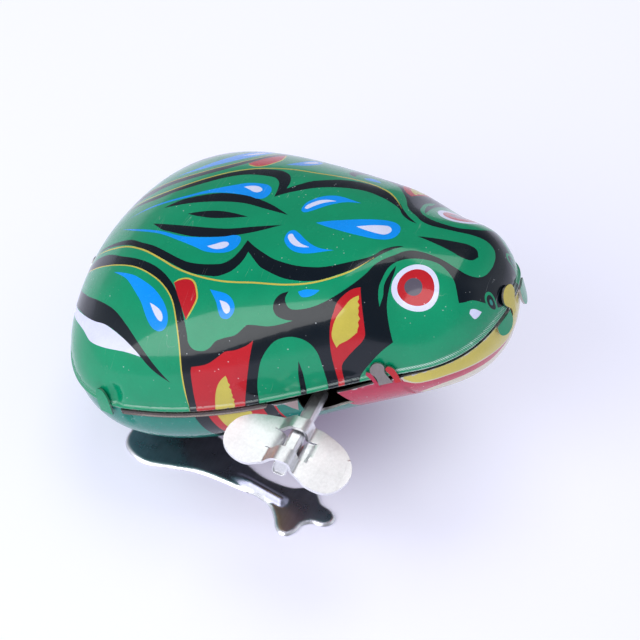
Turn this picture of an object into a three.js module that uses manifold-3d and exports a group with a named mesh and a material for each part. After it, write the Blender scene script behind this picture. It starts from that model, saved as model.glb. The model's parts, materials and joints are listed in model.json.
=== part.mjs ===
import * as THREE from "three";
import { mergeVertices } from "three/addons/utils/BufferGeometryUtils.js";
import Module from "manifold-3d";

// A tin wind-up jumping frog. Millimetres, +X towards the nose, +Y the frog's left side, +Z up.
// The origin is on the ground, below the middle of the whole toy.
//
// The tin body sits nose up on two flat legs. The legs are riveted to a yoke that swings on an
// axle at the back of a small clockwork. A key on the frog's right winds the mainspring. The
// wheels turn a snail cam, which folds the legs and then lets them spring back.

const wasm = await Module();
wasm.setup();

// ---------------------------------------------------------------- driving dimensions

const gap = 0.3; // between neighbouring pieces
const tin = 0.4; // sheet of the two shells

const frogX = -0.04; // middle of the tin body, along the frame's X
const frogY = 3.45; // the frog's plane of symmetry: the key sticks out on the other side
const bodyHeight = 27.5; // middle of the tin body above the ground
const pitch = THREE.MathUtils.degToRad(16.9); // nose up

const bodyLength = 74;
const bodyWidth = [29.8, 13.0, 6.6, 0.2, 0.8]; // half width along the body, as a cosine series
const backHeight = [20.1, -1.2, 2.0, -1.1]; // back above the seam
const bellyDepth = [18.8, 2.7, 4.9, -1.1]; // belly below the seam
const seamHeight = [-4.7, -0.7, 0.3, 1.6, -5.3, 3.1]; // seam above the body's middle line
const backSquareness = [2.7, -0.46, -0.44];
const bellySquareness = [2.1, 0.36];
const bodyRings = 22;
const bodySides = 24;

const plateY = 7; // inner face of each motor plate, from the plane of symmetry
const plateThick = 0.5;
const pivotRadius = 0.6;
const shaftRadius = 1;

const module = 0.5; // of all gear teeth
const mainTeeth = 30;
const pinionTeeth = 10;
const secondTeeth = 24;
const meshSlack = 0.2; // added to each centre distance

const winder = { x: 8.7, z: -7.3 }; // winding arbor, in the body's own axes
const mainToSecond = THREE.MathUtils.degToRad(170); // direction of the second arbor
const secondToCam = THREE.MathUtils.degToRad(183); // direction of the cam shaft
const legAxle = { x: -21.6, z: -12.8 };
const axleRadius = 0.9;

const springInner = 2.2; // mainspring
const springOuter = 6.9;
const springTurns = 4;
const springThick = 0.45;

const keyLobe = 6; // middle of each wing from the stem
const keyLobeLength = 4.4;
const keyLobeWidth = 5;
const keyWaist = 4.5; // half width between the wings
const keyPlateThick = 0.6;
const keyMiddleY = -30.2;
const keyStemRadius = 1.6;
const keyStemEndY = -35.6;
const keyTilt = THREE.MathUtils.degToRad(7.2); // front wing down

const legThick = 0.5;
const armY = 9.2; // inner face of each yoke arm
const armThick = 0.6;

// ---------------------------------------------------------------- materials

const paint = (color, roughness, metalness) =>
  new THREE.MeshStandardMaterial({ color, roughness, metalness });
const greenTin = paint(0x1f9a63, 0.35, 0.3);
const redTin = paint(0xc2303a, 0.35, 0.3);
const brightTin = paint(0xb9b4b0, 0.28, 0.9);
const steel = paint(0x8e9196, 0.35, 0.9);
const springSteel = paint(0x4d545e, 0.3, 0.9);
const brass = paint(0xc2a052, 0.35, 0.9);

// ---------------------------------------------------------------- helpers

function solid(geometry) {
  const source = geometry.index ? geometry.toNonIndexed() : geometry;
  const plain = new THREE.BufferGeometry();
  plain.setAttribute("position", source.getAttribute("position"));
  const merged = mergeVertices(plain, 1e-4);
  return new wasm.Manifold(
    new wasm.Mesh({
      numProp: 3,
      vertProperties: merged.attributes.position.array,
      triVerts: new Uint32Array(merged.index.array),
    }),
  );
}

function geometryOf(body) {
  const mesh = body.getMesh();
  const geometry = new THREE.BufferGeometry();
  geometry.setAttribute("position", new THREE.BufferAttribute(mesh.vertProperties, 3));
  geometry.setIndex(new THREE.BufferAttribute(mesh.triVerts, 1));
  return geometry;
}

const join = (...solids) => solids.reduce((a, b) => a.add(b));
const cut = (from, ...solids) => solids.reduce((a, b) => a.subtract(b), from);

function box(x0, x1, y0, y1, z0, z1) {
  const geometry = new THREE.BoxGeometry(x1 - x0, y1 - y0, z1 - z0);
  return geometry.translate((x0 + x1) / 2, (y0 + y1) / 2, (z0 + z1) / 2);
}

function rod(at, radius, y0, y1, sides = 16) {
  const geometry = new THREE.CylinderGeometry(radius, radius, y1 - y0, sides);
  return geometry.translate(at.x, (y0 + y1) / 2, at.z);
}

// A plate that stands upright: an outline in X and Z, from y0 to y1.
function upright(outline, y0, y1) {
  const shape = new THREE.Shape(outline.map(([x, z]) => new THREE.Vector2(x, z)));
  const geometry = new THREE.ExtrudeGeometry(shape, { depth: y1 - y0, bevelEnabled: false });
  return geometry.rotateX(Math.PI / 2).translate(0, y1, 0);
}

// A plate that lies flat: an outline in X and Y, from z0 to z1.
function flat(outline, z0, z1) {
  const shape = new THREE.Shape(outline.map(([x, y]) => new THREE.Vector2(x, y)));
  const geometry = new THREE.ExtrudeGeometry(shape, { depth: z1 - z0, bevelEnabled: false });
  return geometry.translate(0, 0, z0);
}

// Round wire along a curve.
function wire(points, radius, steps) {
  const path = new THREE.CatmullRomCurve3(points.map((p) => new THREE.Vector3(...p)));
  const section = new THREE.Shape();
  section.absarc(0, 0, radius, 0, 2 * Math.PI);
  return new THREE.ExtrudeGeometry(section, {
    steps,
    extrudePath: path,
    curveSegments: 3,
    bevelEnabled: false,
  });
}

// Outline of a spur gear, with a tooth pointing in the direction of phase.
function gearOutline(teeth, phase, at) {
  const pitchRadius = (module * teeth) / 2;
  const baseRadius = pitchRadius * Math.cos(THREE.MathUtils.degToRad(20));
  const involute = (r) => {
    const angle = Math.acos(Math.min(1, baseRadius / r));
    return Math.tan(angle) - angle;
  };
  const radii = [pitchRadius - 1.15 * module, pitchRadius, pitchRadius + 0.8 * module];
  const halfAtPitch = (0.4 * Math.PI) / teeth;
  const halves = radii.map((r) => halfAtPitch + involute(pitchRadius) - involute(r));
  const outline = [];
  const put = (r, angle) =>
    outline.push([at.x + r * Math.cos(angle), at.z + r * Math.sin(angle)]);
  for (let i = 0; i < teeth; i++) {
    const middle = phase + (2 * Math.PI * i) / teeth;
    radii.forEach((r, k) => put(r, middle - halves[k]));
    [...radii].reverse().forEach((r, k) => put(r, middle + halves[2 - k]));
  }
  return outline;
}

const away = (from, angle, distance) => ({
  x: from.x + distance * Math.cos(angle),
  z: from.z + distance * Math.sin(angle),
});

// ---------------------------------------------------------------- shape of the tin body

const series = (terms, angle) =>
  terms.reduce((sum, c, k) => sum + c * Math.cos(k * angle), 0);

// Height of the seam at u, from the tail (0) to the nose (1).
function seamAt(u) {
  const bow = 4 * u * (1 - u);
  return seamHeight.reduce((sum, c, k) => sum + c * bow * (1 - 2 * u) ** k, 0);
}

// A closed loft through superellipse sections, drawn in by inset all round.
function bodyLoft(inset) {
  const length = bodyLength - 2 * inset;
  const vertices = [[-length / 2, 0, 0]];
  for (let i = 1; i <= bodyRings; i++) {
    const t = (Math.PI * i) / (bodyRings + 1);
    const u = (1 - Math.cos(t)) / 2;
    const around = Math.sin(t);
    const wide = Math.max(around * series(bodyWidth, t) - inset, 0.2);
    const up = Math.max(around * series(backHeight, t) - inset, 0.2);
    const down = Math.max(around * series(bellyDepth, t) - inset, 0.2);
    const cos = Math.cos(t);
    const [square, lean, curve] = backSquareness;
    const upPower = 2 / (square + lean * cos + curve * cos * cos);
    const downPower = 2 / (bellySquareness[0] + bellySquareness[1] * cos);
    for (let j = 0; j < bodySides; j++) {
      const a = (2 * Math.PI * j) / bodySides;
      const power = Math.sin(a) >= 0 ? upPower : downPower;
      const tall = Math.sin(a) >= 0 ? up : down;
      const y = wide * Math.sign(Math.cos(a)) * Math.abs(Math.cos(a)) ** power;
      const z = tall * Math.sign(Math.sin(a)) * Math.abs(Math.sin(a)) ** power;
      vertices.push([length * (u - 0.5), y, seamAt(u) + z]);
    }
  }
  vertices.push([length / 2, 0, 0]);
  const faces = [];
  const at = (i, j) => 1 + i * bodySides + (j % bodySides);
  const nose = vertices.length - 1;
  for (let j = 0; j < bodySides; j++) {
    faces.push(0, at(0, j + 1), at(0, j));
    faces.push(nose, at(bodyRings - 1, j), at(bodyRings - 1, j + 1));
    for (let i = 0; i + 1 < bodyRings; i++) {
      faces.push(at(i, j), at(i + 1, j + 1), at(i + 1, j));
      faces.push(at(i, j), at(i, j + 1), at(i + 1, j + 1));
    }
  }
  const geometry = new THREE.BufferGeometry();
  geometry.setAttribute("position", new THREE.Float32BufferAttribute(vertices.flat(), 3));
  geometry.setIndex(faces);
  return geometry;
}

// Everything between two heights measured from the seam, over a stretch of the body.
function seamSlab(x0, x1, low, high) {
  const steps = 16;
  const upper = [];
  const lower = [];
  for (let i = 0; i <= steps; i++) {
    const x = x0 + ((x1 - x0) * i) / steps;
    const u = THREE.MathUtils.clamp(x / bodyLength + 0.5, 0, 1);
    lower.push([x, seamAt(u) + low]);
    upper.unshift([x, seamAt(u) + high]);
  }
  return upright([...lower, ...upper], -40, 40);
}

// ---------------------------------------------------------------- the toy and its pieces

const toy = new THREE.Group();
toy.name = "jumping_frog";

const frog = new THREE.Group();
frog.position.set(frogX, frogY, 0);
toy.add(frog);

const body = new THREE.Group();
body.position.set(0, 0, bodyHeight);
body.rotation.y = -pitch;
frog.add(body);
body.updateMatrix();
const toBody = body.matrix.clone().invert();

function add(group, name, shape, material) {
  const geometry = shape.isBufferGeometry ? shape : geometryOf(shape);
  const mesh = new THREE.Mesh(geometry, material);
  mesh.name = name;
  group.add(mesh);
}

// ---- arbors and gear train, in the body's own axes

const wheelRadius = (teeth) => (module * teeth) / 2;
const toSecond = wheelRadius(mainTeeth) + wheelRadius(pinionTeeth) + meshSlack;
const toCam = wheelRadius(secondTeeth) + wheelRadius(pinionTeeth) + meshSlack;
const second = away(winder, mainToSecond, toSecond);
const camShaft = away(second, secondToCam, toCam);
const halfTooth = (teeth) => Math.PI / teeth;

const mainWheelY = [0.6, 1.4];
const ratchetY = [2.2, 3];
const secondPinionY = [0.2, 1.8];
const secondWheelY = [4.2, 5];
const camPinionY = [3.8, 5.4];
const camY = [-1.2, 1.2];

// The winding arbor, with a thinner tang that the key stem is folded round.
const windingArbor = join(
  solid(rod(winder, shaftRadius, -16.4, 6.6)),
  solid(rod(winder, pivotRadius, 6, 8)),
  solid(rod(winder, 0.7, -24, -16)),
);
add(body, "winding_arbor", windingArbor, steel);

// Saw teeth that the click drops into.
const ratchetTeeth = 12;
const ratchetOutline = [];
for (let i = 0; i < ratchetTeeth; i++) {
  const angle = (2 * Math.PI * i) / ratchetTeeth;
  const tip = away(winder, angle, 3.3);
  const root = away(winder, angle + 0.06, 2.5);
  ratchetOutline.push([tip.x, tip.z], [root.x, root.z]);
}
const ratchetWheel = cut(
  solid(upright(ratchetOutline, ...ratchetY)),
  solid(rod(winder, shaftRadius + gap, 1, 4)),
);
add(body, "ratchet_wheel", ratchetWheel, steel);

// The main wheel runs loose on the arbor and carries the click.
const clickPivot = away(winder, 1.95, 5.6);
const mainWheel = cut(
  solid(upright(gearOutline(mainTeeth, mainToSecond, winder), ...mainWheelY)),
  solid(rod(winder, shaftRadius + gap, 0, 2)),
  solid(rod(clickPivot, pivotRadius + gap, 0, 2, 12)),
  ...[0.55, 3.6, 5.2].map((a) => solid(rod(away(winder, a, 4.6), 1.5, 0, 2, 12))),
);
add(body, "main_wheel", mainWheel, brass);

const clickPost = join(
  solid(rod(clickPivot, pivotRadius, 0.1, 3.6, 10)),
  solid(rod(clickPivot, 1.1, -0.1, 0.3, 10)),
  solid(rod(clickPivot, 1.1, 3.4, 3.8, 10)),
);
add(body, "click_post", clickPost, steel);

// The click stands just clear of the saw teeth.
const clickOutline = [
  [-1.5, 0.6],
  [-1.2, 1.3],
  [0, 1.5],
  [1.4, 1.1],
  [3.4, -0.9],
  [3.6, -1.9],
  [1.4, -0.9],
  [0, -1.4],
  [-1.2, -0.9],
].map(([x, z]) => [clickPivot.x + x, clickPivot.z + z]);
const click = cut(
  solid(upright(clickOutline, ...ratchetY)),
  solid(rod(clickPivot, pivotRadius + gap, 1, 4, 10)),
);
add(body, "click", click, steel);

const clickWire = (x, z, y) => [winder.x + x, y, winder.z + z];
const clickSpring = join(
  solid(
    wire(
      [
        clickWire(-6.0, 1.5, 2.6),
        clickWire(-5.6, 4.2, 2.6),
        clickWire(-4.2, 5.9, 2.6),
      ],
      0.2,
      6,
    ),
  ),
  solid(rod(away(winder, 2.9, 6.18), 0.35, 1.7, 2.9, 8)),
);
add(body, "click_spring", clickSpring, springSteel);

// ---- second arbor and cam shaft

function pinionArbor(at, phase, pinionY) {
  return join(
    solid(rod(at, shaftRadius, -6.6, 6.6, 12)),
    solid(rod(at, pivotRadius, -8, 8, 12)),
    solid(upright(gearOutline(pinionTeeth, phase, at), ...pinionY)),
  );
}

const secondPhase = mainToSecond + Math.PI + halfTooth(pinionTeeth);
add(body, "second_arbor", pinionArbor(second, secondPhase, secondPinionY), steel);

const secondWheel = cut(
  solid(upright(gearOutline(secondTeeth, secondToCam, second), ...secondWheelY)),
  solid(rod(second, shaftRadius + gap, 4, 6, 12)),
  ...[0.8, 2.9, 5].map((a) => solid(rod(away(second, a, 3.5), 1.2, 4, 6, 12))),
);
add(body, "second_wheel", secondWheel, brass);

const camPhase = secondToCam + Math.PI + halfTooth(pinionTeeth);
add(body, "cam_arbor", pinionArbor(camShaft, camPhase, camPinionY), steel);

// The snail cam rises over one turn and then drops.
const camOutline = [];
for (let i = 0; i <= 20; i++) {
  const spot = away(camShaft, 2.6 - (2 * Math.PI * i) / 20.6, 2.2 + (2.6 * i) / 20);
  camOutline.unshift([spot.x, spot.z]);
}
const cam = cut(
  solid(upright(camOutline, ...camY)),
  solid(rod(camShaft, shaftRadius + gap, -2, 2, 12)),
);
add(body, "cam", cam, steel);

// ---- mainspring: a flat coil whose outer end hooks round a pillar

const springPillar = { x: 17.4, z: -10.7 };
const springAngle = Math.atan2(springPillar.z - winder.z, springPillar.x - winder.x);
const springSide = (offset) => {
  const side = [];
  const steps = springTurns * 16;
  for (let i = 0; i <= steps; i++) {
    const share = i / steps;
    const radius = springInner + (springOuter - springInner) * share + offset;
    const spot = away(winder, springAngle - 2 * Math.PI * springTurns * (1 - share), radius);
    side.push([spot.x, spot.z]);
  }
  return side;
};
const hook = (distance, turn) => {
  const spot = away(springPillar, springAngle + turn, distance);
  return [spot.x, spot.z];
};
const mainspring = solid(
  upright(
    [
      ...springSide(0),
      hook(1.35, 3.6),
      hook(1.35, 4.7),
      hook(1.35, 6),
      hook(1.8, 6),
      hook(1.8, 4.7),
      hook(1.9, 3.6),
      ...springSide(springThick).reverse().slice(1),
    ],
    -5.6,
    -0.6,
  ),
);
add(body, "mainspring", mainspring, springSteel);

// ---- motor frame: two plates held by four pillars

const pillars = {
  pillar_nose: { x: 16.4, z: -0.9 },
  pillar_spring: springPillar,
  pillar_top: { x: 2.6, z: 1.9 },
  pillar_tail: { x: -13.4, z: -13 },
};
const plateOutline = [
  [-24.6, -14.6],
  [-24.9, -11.2],
  [-23.2, -9.4],
  [-15.4, -9.2],
  [-14.2, -3.4],
  [-9.5, -1.2],
  [0, 4],
  [5, 4],
  [16, 1.6],
  [18.6, -0.6],
  [18.9, -11.4],
  [17, -12.6],
  [2, -14.6],
  [-13, -15.4],
];
const plateHoles = [...Object.values(pillars), second, camShaft].map((at) =>
  solid(rod(at, pivotRadius + gap, -9, 9, 12)),
);
const arborHole = solid(rod(winder, shaftRadius + gap, -9, 9));
const axleHole = solid(rod(legAxle, axleRadius + gap, -9, 9));

function motorPlate(y0) {
  const blank = solid(upright(plateOutline, y0, y0 + plateThick));
  return cut(blank, ...plateHoles, arborHole, axleHole);
}
add(body, "left_plate", motorPlate(plateY), brightTin);
add(body, "right_plate", motorPlate(-plateY - plateThick), brightTin);

const pillarShoulder = plateY - gap;
for (const [name, at] of Object.entries(pillars)) {
  const pillar = join(
    solid(rod(at, shaftRadius, -pillarShoulder, pillarShoulder, 12)),
    solid(rod(at, pivotRadius, -8.2, 8.2, 12)),
    solid(rod(at, shaftRadius, 7.8, 8.3, 12)),
    solid(rod(at, shaftRadius, -8.3, -7.8, 12)),
  );
  add(body, name, pillar, steel);
}

const axleEnd = armY + armThick + 0.9;
const legAxleRod = join(
  solid(rod(legAxle, axleRadius, -axleEnd, axleEnd, 12)),
  solid(rod(legAxle, axleRadius + 0.7, axleEnd - 0.5, axleEnd, 12)),
  solid(rod(legAxle, axleRadius + 0.7, -axleEnd, -axleEnd + 0.5, 12)),
);
add(body, "leg_axle", legAxleRod, steel);

// ---- leg spring, coiled round the axle, drawn as wound: one arm lies under a pillar, and the
// other stands where the yoke's crossbar is when the legs are folded

const coilRadius = 1.7;
const coilTurns = 4;
const coil = [
  [-12.6, -5.8, -14.6],
  [-17, -5.8, -14.55],
];
for (let i = 0; i <= 8 * coilTurns + 2; i++) {
  const share = i / (8 * coilTurns + 2);
  const angle = -Math.PI / 2 - (2 * coilTurns + 0.5) * Math.PI * share;
  const spot = away(legAxle, angle, coilRadius);
  coil.push([spot.x, -5.8 + 3.4 * share, spot.z]);
}
coil.push([-23, -2.4, -8.6], [-22.4, -2.4, -4]);
add(body, "leg_spring", wire(coil, 0.25, 72), springSteel);

// ---- shells

const outside = solid(bodyLoft(0));
const skin = outside.subtract(solid(bodyLoft(tin)));
const all = bodyLength / 2 + 5;
const backShell = skin.intersect(solid(seamSlab(-all, all, gap / 2, 40)));

// Bare flange along the belly's rim, under the painted edge of the back.
const flange = solid(bodyLoft(-0.7))
  .subtract(solid(bodyLoft(tin)))
  .intersect(solid(seamSlab(-20, 4.5, -0.8, -gap / 2)));

// Tabs of the belly, folded up over the rim of the back: each a foot on the belly and a leaf.
const tab = (x, y, turn) => {
  const z = seamAt(x / bodyLength + 0.5);
  const place = (geometry) => solid(geometry.rotateZ(turn).translate(x, y, z));
  return join(
    place(box(-0.9, 0.7, -1.6, 1.6, -2, -0.4)),
    place(box(gap, 0.7, -1.6, 1.6, -2, 1.7)),
  );
};
const tabs = [
  tab(bodyLength / 2, 0, 0),
  tab(-bodyLength / 2, 0, Math.PI),
  tab(19.4, 16.9, Math.PI / 2 - 0.36),
  tab(19.4, -16.9, 0.36 - Math.PI / 2),
];

const slots = [1, -1].map((side) => {
  const middle = side * (armY + armThick / 2);
  const opening = box(-21, -11, middle - 0.8, middle + 0.8, 0, 7);
  return solid(opening.applyMatrix4(toBody));
});
// The stem leaves through a notch that is open to the seam.
const notch = keyStemRadius + 0.6;
const keyHole = join(
  solid(rod(winder, notch, -24, -12, 16)),
  solid(box(winder.x - notch, winder.x + notch, -24, -12, winder.z, winder.z + 4)),
);
const feet = {
  front: { x: 17.5, z: -13.6, skinZ: -15.7 },
  rear: { x: -7.5, z: -16.2, skinZ: -19.9 },
};
const footHoles = Object.values(feet).map(({ x }) =>
  solid(new THREE.CylinderGeometry(0.9, 0.9, 12, 12).rotateX(Math.PI / 2).translate(x, 0, -18)),
);
const bellyRaw = join(
  skin.intersect(solid(seamSlab(-all, all, -40, -gap / 2))),
  flange,
);
const belly = cut(
  join(bellyRaw, ...tabs),
  ...slots,
  keyHole,
  ...footHoles,
);
add(body, "back_shell", backShell, greenTin);
add(body, "belly_shell", belly, redTin);

// ---- key: a sheet with two round wings, lanced so that its straps hold the stem

const keyStem = cut(
  solid(rod(winder, keyStemRadius, keyStemEndY, -17, 6)),
  solid(rod(winder, shaftRadius, -25, -16, 12)),
);
const keyTurn = new THREE.Matrix4()
  .makeTranslation(winder.x, 0, winder.z)
  .multiply(new THREE.Matrix4().makeRotationY(keyTilt + pitch));
const keyPiece = (geometry) => solid(geometry.applyMatrix4(keyTurn));

const wingOutline = [];
for (const side of [1, -1]) {
  for (let i = -5; i <= 5; i++) {
    const angle = (i * Math.PI) / 10 + (side < 0 ? Math.PI : 0);
    wingOutline.push([
      side * keyLobe + keyLobeLength * Math.cos(angle),
      keyMiddleY + keyLobeWidth * Math.sin(angle),
    ]);
  }
  wingOutline.push([0, keyMiddleY + side * keyWaist]);
}
const strapInner = keyStemRadius + gap;
const strapOuter = strapInner + keyPlateThick;
const straps = [
  [keyMiddleY - keyWaist, keyMiddleY - 1.9, 1],
  [keyMiddleY - 1.5, keyMiddleY + 1.5, -1],
  [keyMiddleY + 1.9, keyMiddleY + keyWaist, 1],
].map(([y0, y1, side]) => {
  const ring = cut(
    keyPiece(rod({ x: 0, z: 0 }, strapOuter, y0, y1, 20)),
    keyPiece(rod({ x: 0, z: 0 }, strapInner, y0 - 1, y1 + 1, 20)),
  );
  const half = box(-9, 9, y0 - 1, y1 + 1, side > 0 ? -0.3 : -9, side > 0 ? 9 : 0.3);
  return ring.intersect(keyPiece(half));
});
const keyPlate = join(
  cut(
    keyPiece(flat(wingOutline, -keyPlateThick / 2, keyPlateThick / 2)),
    keyPiece(rod({ x: 0, z: 0 }, strapInner + 0.1, -40, -20, 20)),
  ),
  ...straps,
);
add(body, "key_stem", keyStem, brightTin);
add(body, "key_plate", keyPlate, brightTin);

// ---- feet of the motor frame, riveted through the belly

const post = (x, radius, z0, z1) =>
  solid(
    new THREE.CylinderGeometry(radius, radius, z1 - z0, 12)
      .rotateX(Math.PI / 2)
      .translate(x, 0, (z0 + z1) / 2),
  );
for (const [end, { x, z, skinZ }] of Object.entries(feet)) {
  const half = plateY - gap;
  const bar = cut(
    solid(box(x - 2.2, x + 2.2, -half, half, z, z + 0.6)),
    post(x, 0.6 + gap, z - 1, z + 2),
  );
  add(body, `foot_bar_${end}`, bar, brightTin);
  const rivet = join(
    post(x, 0.6, skinZ - gap - 0.3, z + 1.2),
    post(x, 1.3, skinZ - gap - 0.6, skinZ - gap),
    post(x, 1.1, z + 0.6 + gap, z + 1.3),
  );
  add(body, `foot_rivet_${end}`, rivet, steel);
}

// ---- legs, flat on the ground

const legOutline = [
  [-22.9, -19.4],
  [-22.2, -21.2],
  [-20.5, -22.6],
  [-17.8, -23.4],
  [-13.4, -22.7],
  [-8.7, -21.9],
  [-1.3, -22.5],
  [4.1, -23.6],
  [7.2, -26.8],
  [8.6, -28.4],
  [9.8, -28.7],
  [10.9, -27],
  [11.8, -24.4],
  [14.2, -24.3],
  [15.2, -22.6],
  [13.8, -20.9],
  [11.6, -20],
  [10.9, -18.5],
  [8.3, -18.2],
  [6.2, -19.3],
  [1.5, -18.8],
  [-2.9, -16.9],
  [-8.4, -13.8],
  [-12, -12.4],
  [-13.2, -9.3],
  [-20.6, -9.3],
  [-21.6, -12.6],
];
const axle = new THREE.Vector3(legAxle.x, 0, legAxle.z).applyMatrix4(body.matrix);
const flangeZ = [legThick + gap, legThick + gap + armThick];
const legRivets = [
  [axle.x - 2, 12.6],
  [axle.x + 2, 12.6],
];
const riser = (x, y, radius, z0, z1, sides = 12) =>
  solid(
    new THREE.CylinderGeometry(radius, radius, z1 - z0, sides)
      .rotateX(Math.PI / 2)
      .translate(x, y, (z0 + z1) / 2),
  );

for (const [name, side] of [
  ["right", -1],
  ["left", 1],
]) {
  const outline = legOutline.map(([x, y]) => [x, -side * y]);
  const plate = solid(flat(side < 0 ? outline : outline.reverse(), 0, legThick));
  const ridge = new THREE.CylinderGeometry(1, 1, 7, 10);
  ridge.rotateZ(Math.PI / 2).scale(1, 1, 0.9).translate(4, side * 21.4, legThick);
  const leg = cut(
    join(plate, solid(ridge)),
    solid(box(-5, 12, side * 21.4 - 3, side * 21.4 + 3, -3, 0)),
    ...legRivets.map(([x, y]) => riser(x, side * y, 0.6 + gap, -1, 2)),
  );
  add(frog, `${name}_leg`, leg, brightTin);
  legRivets.forEach(([x, y], i) => {
    const rivet = join(
      riser(x, side * y, 0.6, 0.1, flangeZ[1] + 0.6, 10),
      riser(x, side * y, 1.2, flangeZ[1] + gap, flangeZ[1] + 0.7, 10),
    );
    add(frog, `${name}_leg_rivet_${i + 1}`, rivet, steel);
  });
}

// ---- yoke: two arms and a crossbar in one bent strip, with the follower that the cam pushes

const armOutline = [
  [-2.6, -axle.z + flangeZ[0]],
  [2.6, -axle.z + flangeZ[0]],
  [2.6, -2],
  [3, 1.5],
  [3, 8.8],
  [0, 8.8],
  [-2.6, 1.5],
  [-2.6, -2],
].map(([x, z]) => [axle.x + x, axle.z + z]);
const follower = [
  [0.1, 8.2],
  [2.9, 8.2],
  [4.9, 7.2],
  [4.9, 6.6],
  [2.9, 7.4],
  [0.1, 7.4],
].map(([x, z]) => [axle.x + x, axle.z + z]);
const armEye = solid(rod(axle, axleRadius + gap, -20, 20, 12));
const yoke = cut(
  join(
    solid(upright(armOutline, armY, armY + armThick)),
    solid(upright(armOutline, -armY - armThick, -armY)),
    solid(box(axle.x, axle.x + 3, -armY - 0.1, armY + 0.1, axle.z + 8.2, axle.z + 8.8)),
    solid(upright(follower, -1, 1)),
    ...[1, -1].map((side) => {
      const [y0, y1] = side > 0 ? [armY, 15] : [-15, -armY];
      return solid(box(axle.x - 3.4, axle.x + 3.4, y0, y1, ...flangeZ));
    }),
  ),
  armEye,
  ...[1, -1].flatMap((side) =>
    legRivets.map(([x, y]) => riser(x, side * y, 0.6 + gap, 0, 3)),
  ),
);
add(frog, "leg_yoke", yoke, brightTin);

export default toy;
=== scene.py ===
"""A tin wind-up jumping frog: the looks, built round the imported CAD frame.

Shapes are worked out in millimetres in the tin body's own axes (x to the nose, y to the frog's
left, z up from the body's middle line), then placed in the frame, which is in metres.
"""

import json
import math

import bmesh
import bpy
import numpy as np
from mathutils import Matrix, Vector
from mathutils.geometry import delaunay_2d_cdt


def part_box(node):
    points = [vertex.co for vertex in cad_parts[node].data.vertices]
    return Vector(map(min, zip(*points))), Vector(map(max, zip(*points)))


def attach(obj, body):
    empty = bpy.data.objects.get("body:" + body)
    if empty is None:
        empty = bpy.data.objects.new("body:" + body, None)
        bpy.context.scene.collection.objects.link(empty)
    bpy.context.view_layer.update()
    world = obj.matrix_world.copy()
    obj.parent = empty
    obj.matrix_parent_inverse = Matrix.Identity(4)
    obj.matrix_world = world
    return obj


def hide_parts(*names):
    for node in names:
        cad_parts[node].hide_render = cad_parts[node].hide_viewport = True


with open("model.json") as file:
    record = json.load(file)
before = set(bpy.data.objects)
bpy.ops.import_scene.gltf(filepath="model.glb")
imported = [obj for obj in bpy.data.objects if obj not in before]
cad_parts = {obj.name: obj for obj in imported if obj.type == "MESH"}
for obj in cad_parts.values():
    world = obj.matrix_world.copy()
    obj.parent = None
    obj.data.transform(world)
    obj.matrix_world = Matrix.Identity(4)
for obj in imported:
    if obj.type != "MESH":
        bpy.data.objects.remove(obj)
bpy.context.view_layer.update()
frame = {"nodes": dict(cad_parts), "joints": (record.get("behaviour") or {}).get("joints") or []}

MM = 0.001
TIN = 0.4

# -------- where the tin body stands

joint_at = {j["name"]: np.array(j["pos_m"]) / MM for j in frame["joints"]}
WINDER = np.array([8.7, -7.3])  # the key's axis and the leg axle, x and z in the body's own axes
LEG_AXLE = np.array([-21.6, -12.8])
back_low, back_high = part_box("back_shell")
MIDDLE_Y = (back_low.y + back_high.y) / 2 / MM

in_body = WINDER - LEG_AXLE
in_row = (joint_at["key_wind"] - joint_at["leg_kick"])[[0, 2]]
PITCH = math.atan2(in_row[1], in_row[0]) - math.atan2(in_body[1], in_body[0])
LONG = np.array([math.cos(PITCH), 0, math.sin(PITCH)])
TALL = np.array([-math.sin(PITCH), 0, math.cos(PITCH)])
ACROSS = np.array([0, 1, 0])
axle = joint_at["leg_kick"] * [1, 0, 1]
ORIGIN = axle - LEG_AXLE[0] * LONG - LEG_AXLE[1] * TALL + MIDDLE_Y * ACROSS
BODY_AXES = np.array([LONG, ACROSS, TALL])


def placed(points):
    """Body axes in millimetres to the frame in metres."""
    return (np.asarray(points) @ BODY_AXES + ORIGIN) * MM


def turned(directions):
    return np.asarray(directions) @ BODY_AXES


# -------- shape of the tin body

LENGTH = 74
WIDTH = [29.8, 13, 6.6, 0.2, 0.8]  # half width along the body, as a cosine series
BACK_HEIGHT = [20.1, -1.2, 2, -1.1]
BELLY_DEPTH = [18.8, 2.7, 4.9, -1.1]
SEAM_HEIGHT = [-4.7, -0.7, 0.3, 1.6, -5.3, 3.1]
BACK_SQUARENESS = [2.7, -0.46, -0.44]
BELLY_SQUARENESS = [2.1, 0.36, 0]


def series(terms, t):
    return sum(c * np.cos(k * t) for k, c in enumerate(terms))


def seam_height(t):
    u = (1 - np.cos(t)) / 2
    bow = 4 * u * (1 - u)
    return sum(c * bow * (1 - 2 * u) ** k for k, c in enumerate(SEAM_HEIGHT))


def section(t, a, tall, squareness, up):
    """A point on one half: t from tail to nose, a from the middle line to the seam."""
    cos = np.cos(t)
    power = 2 / (squareness[0] + squareness[1] * cos + squareness[2] * cos * cos)
    y = np.sin(t) * series(WIDTH, t) * np.sin(a) ** power
    z = np.sin(t) * series(tall, t) * np.cos(a) ** power
    x = -LENGTH / 2 * cos + 0 * y
    return np.stack([x, -y, seam_height(t) + up * z], -1)


def unit(vectors):
    return vectors / np.maximum(np.linalg.norm(vectors, axis=-1, keepdims=True), 1e-12)


def running_length(points):
    steps = np.linalg.norm(np.diff(points, axis=0), axis=1)
    return np.concatenate([[0], np.cumsum(steps)])


SPINE_T = np.linspace(0, math.pi, 1201)
SPINE = running_length(section(SPINE_T, 0 * SPINE_T, BACK_HEIGHT, BACK_SQUARENESS, 1))
SPINE_LENGTH = SPINE[-1]


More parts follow.
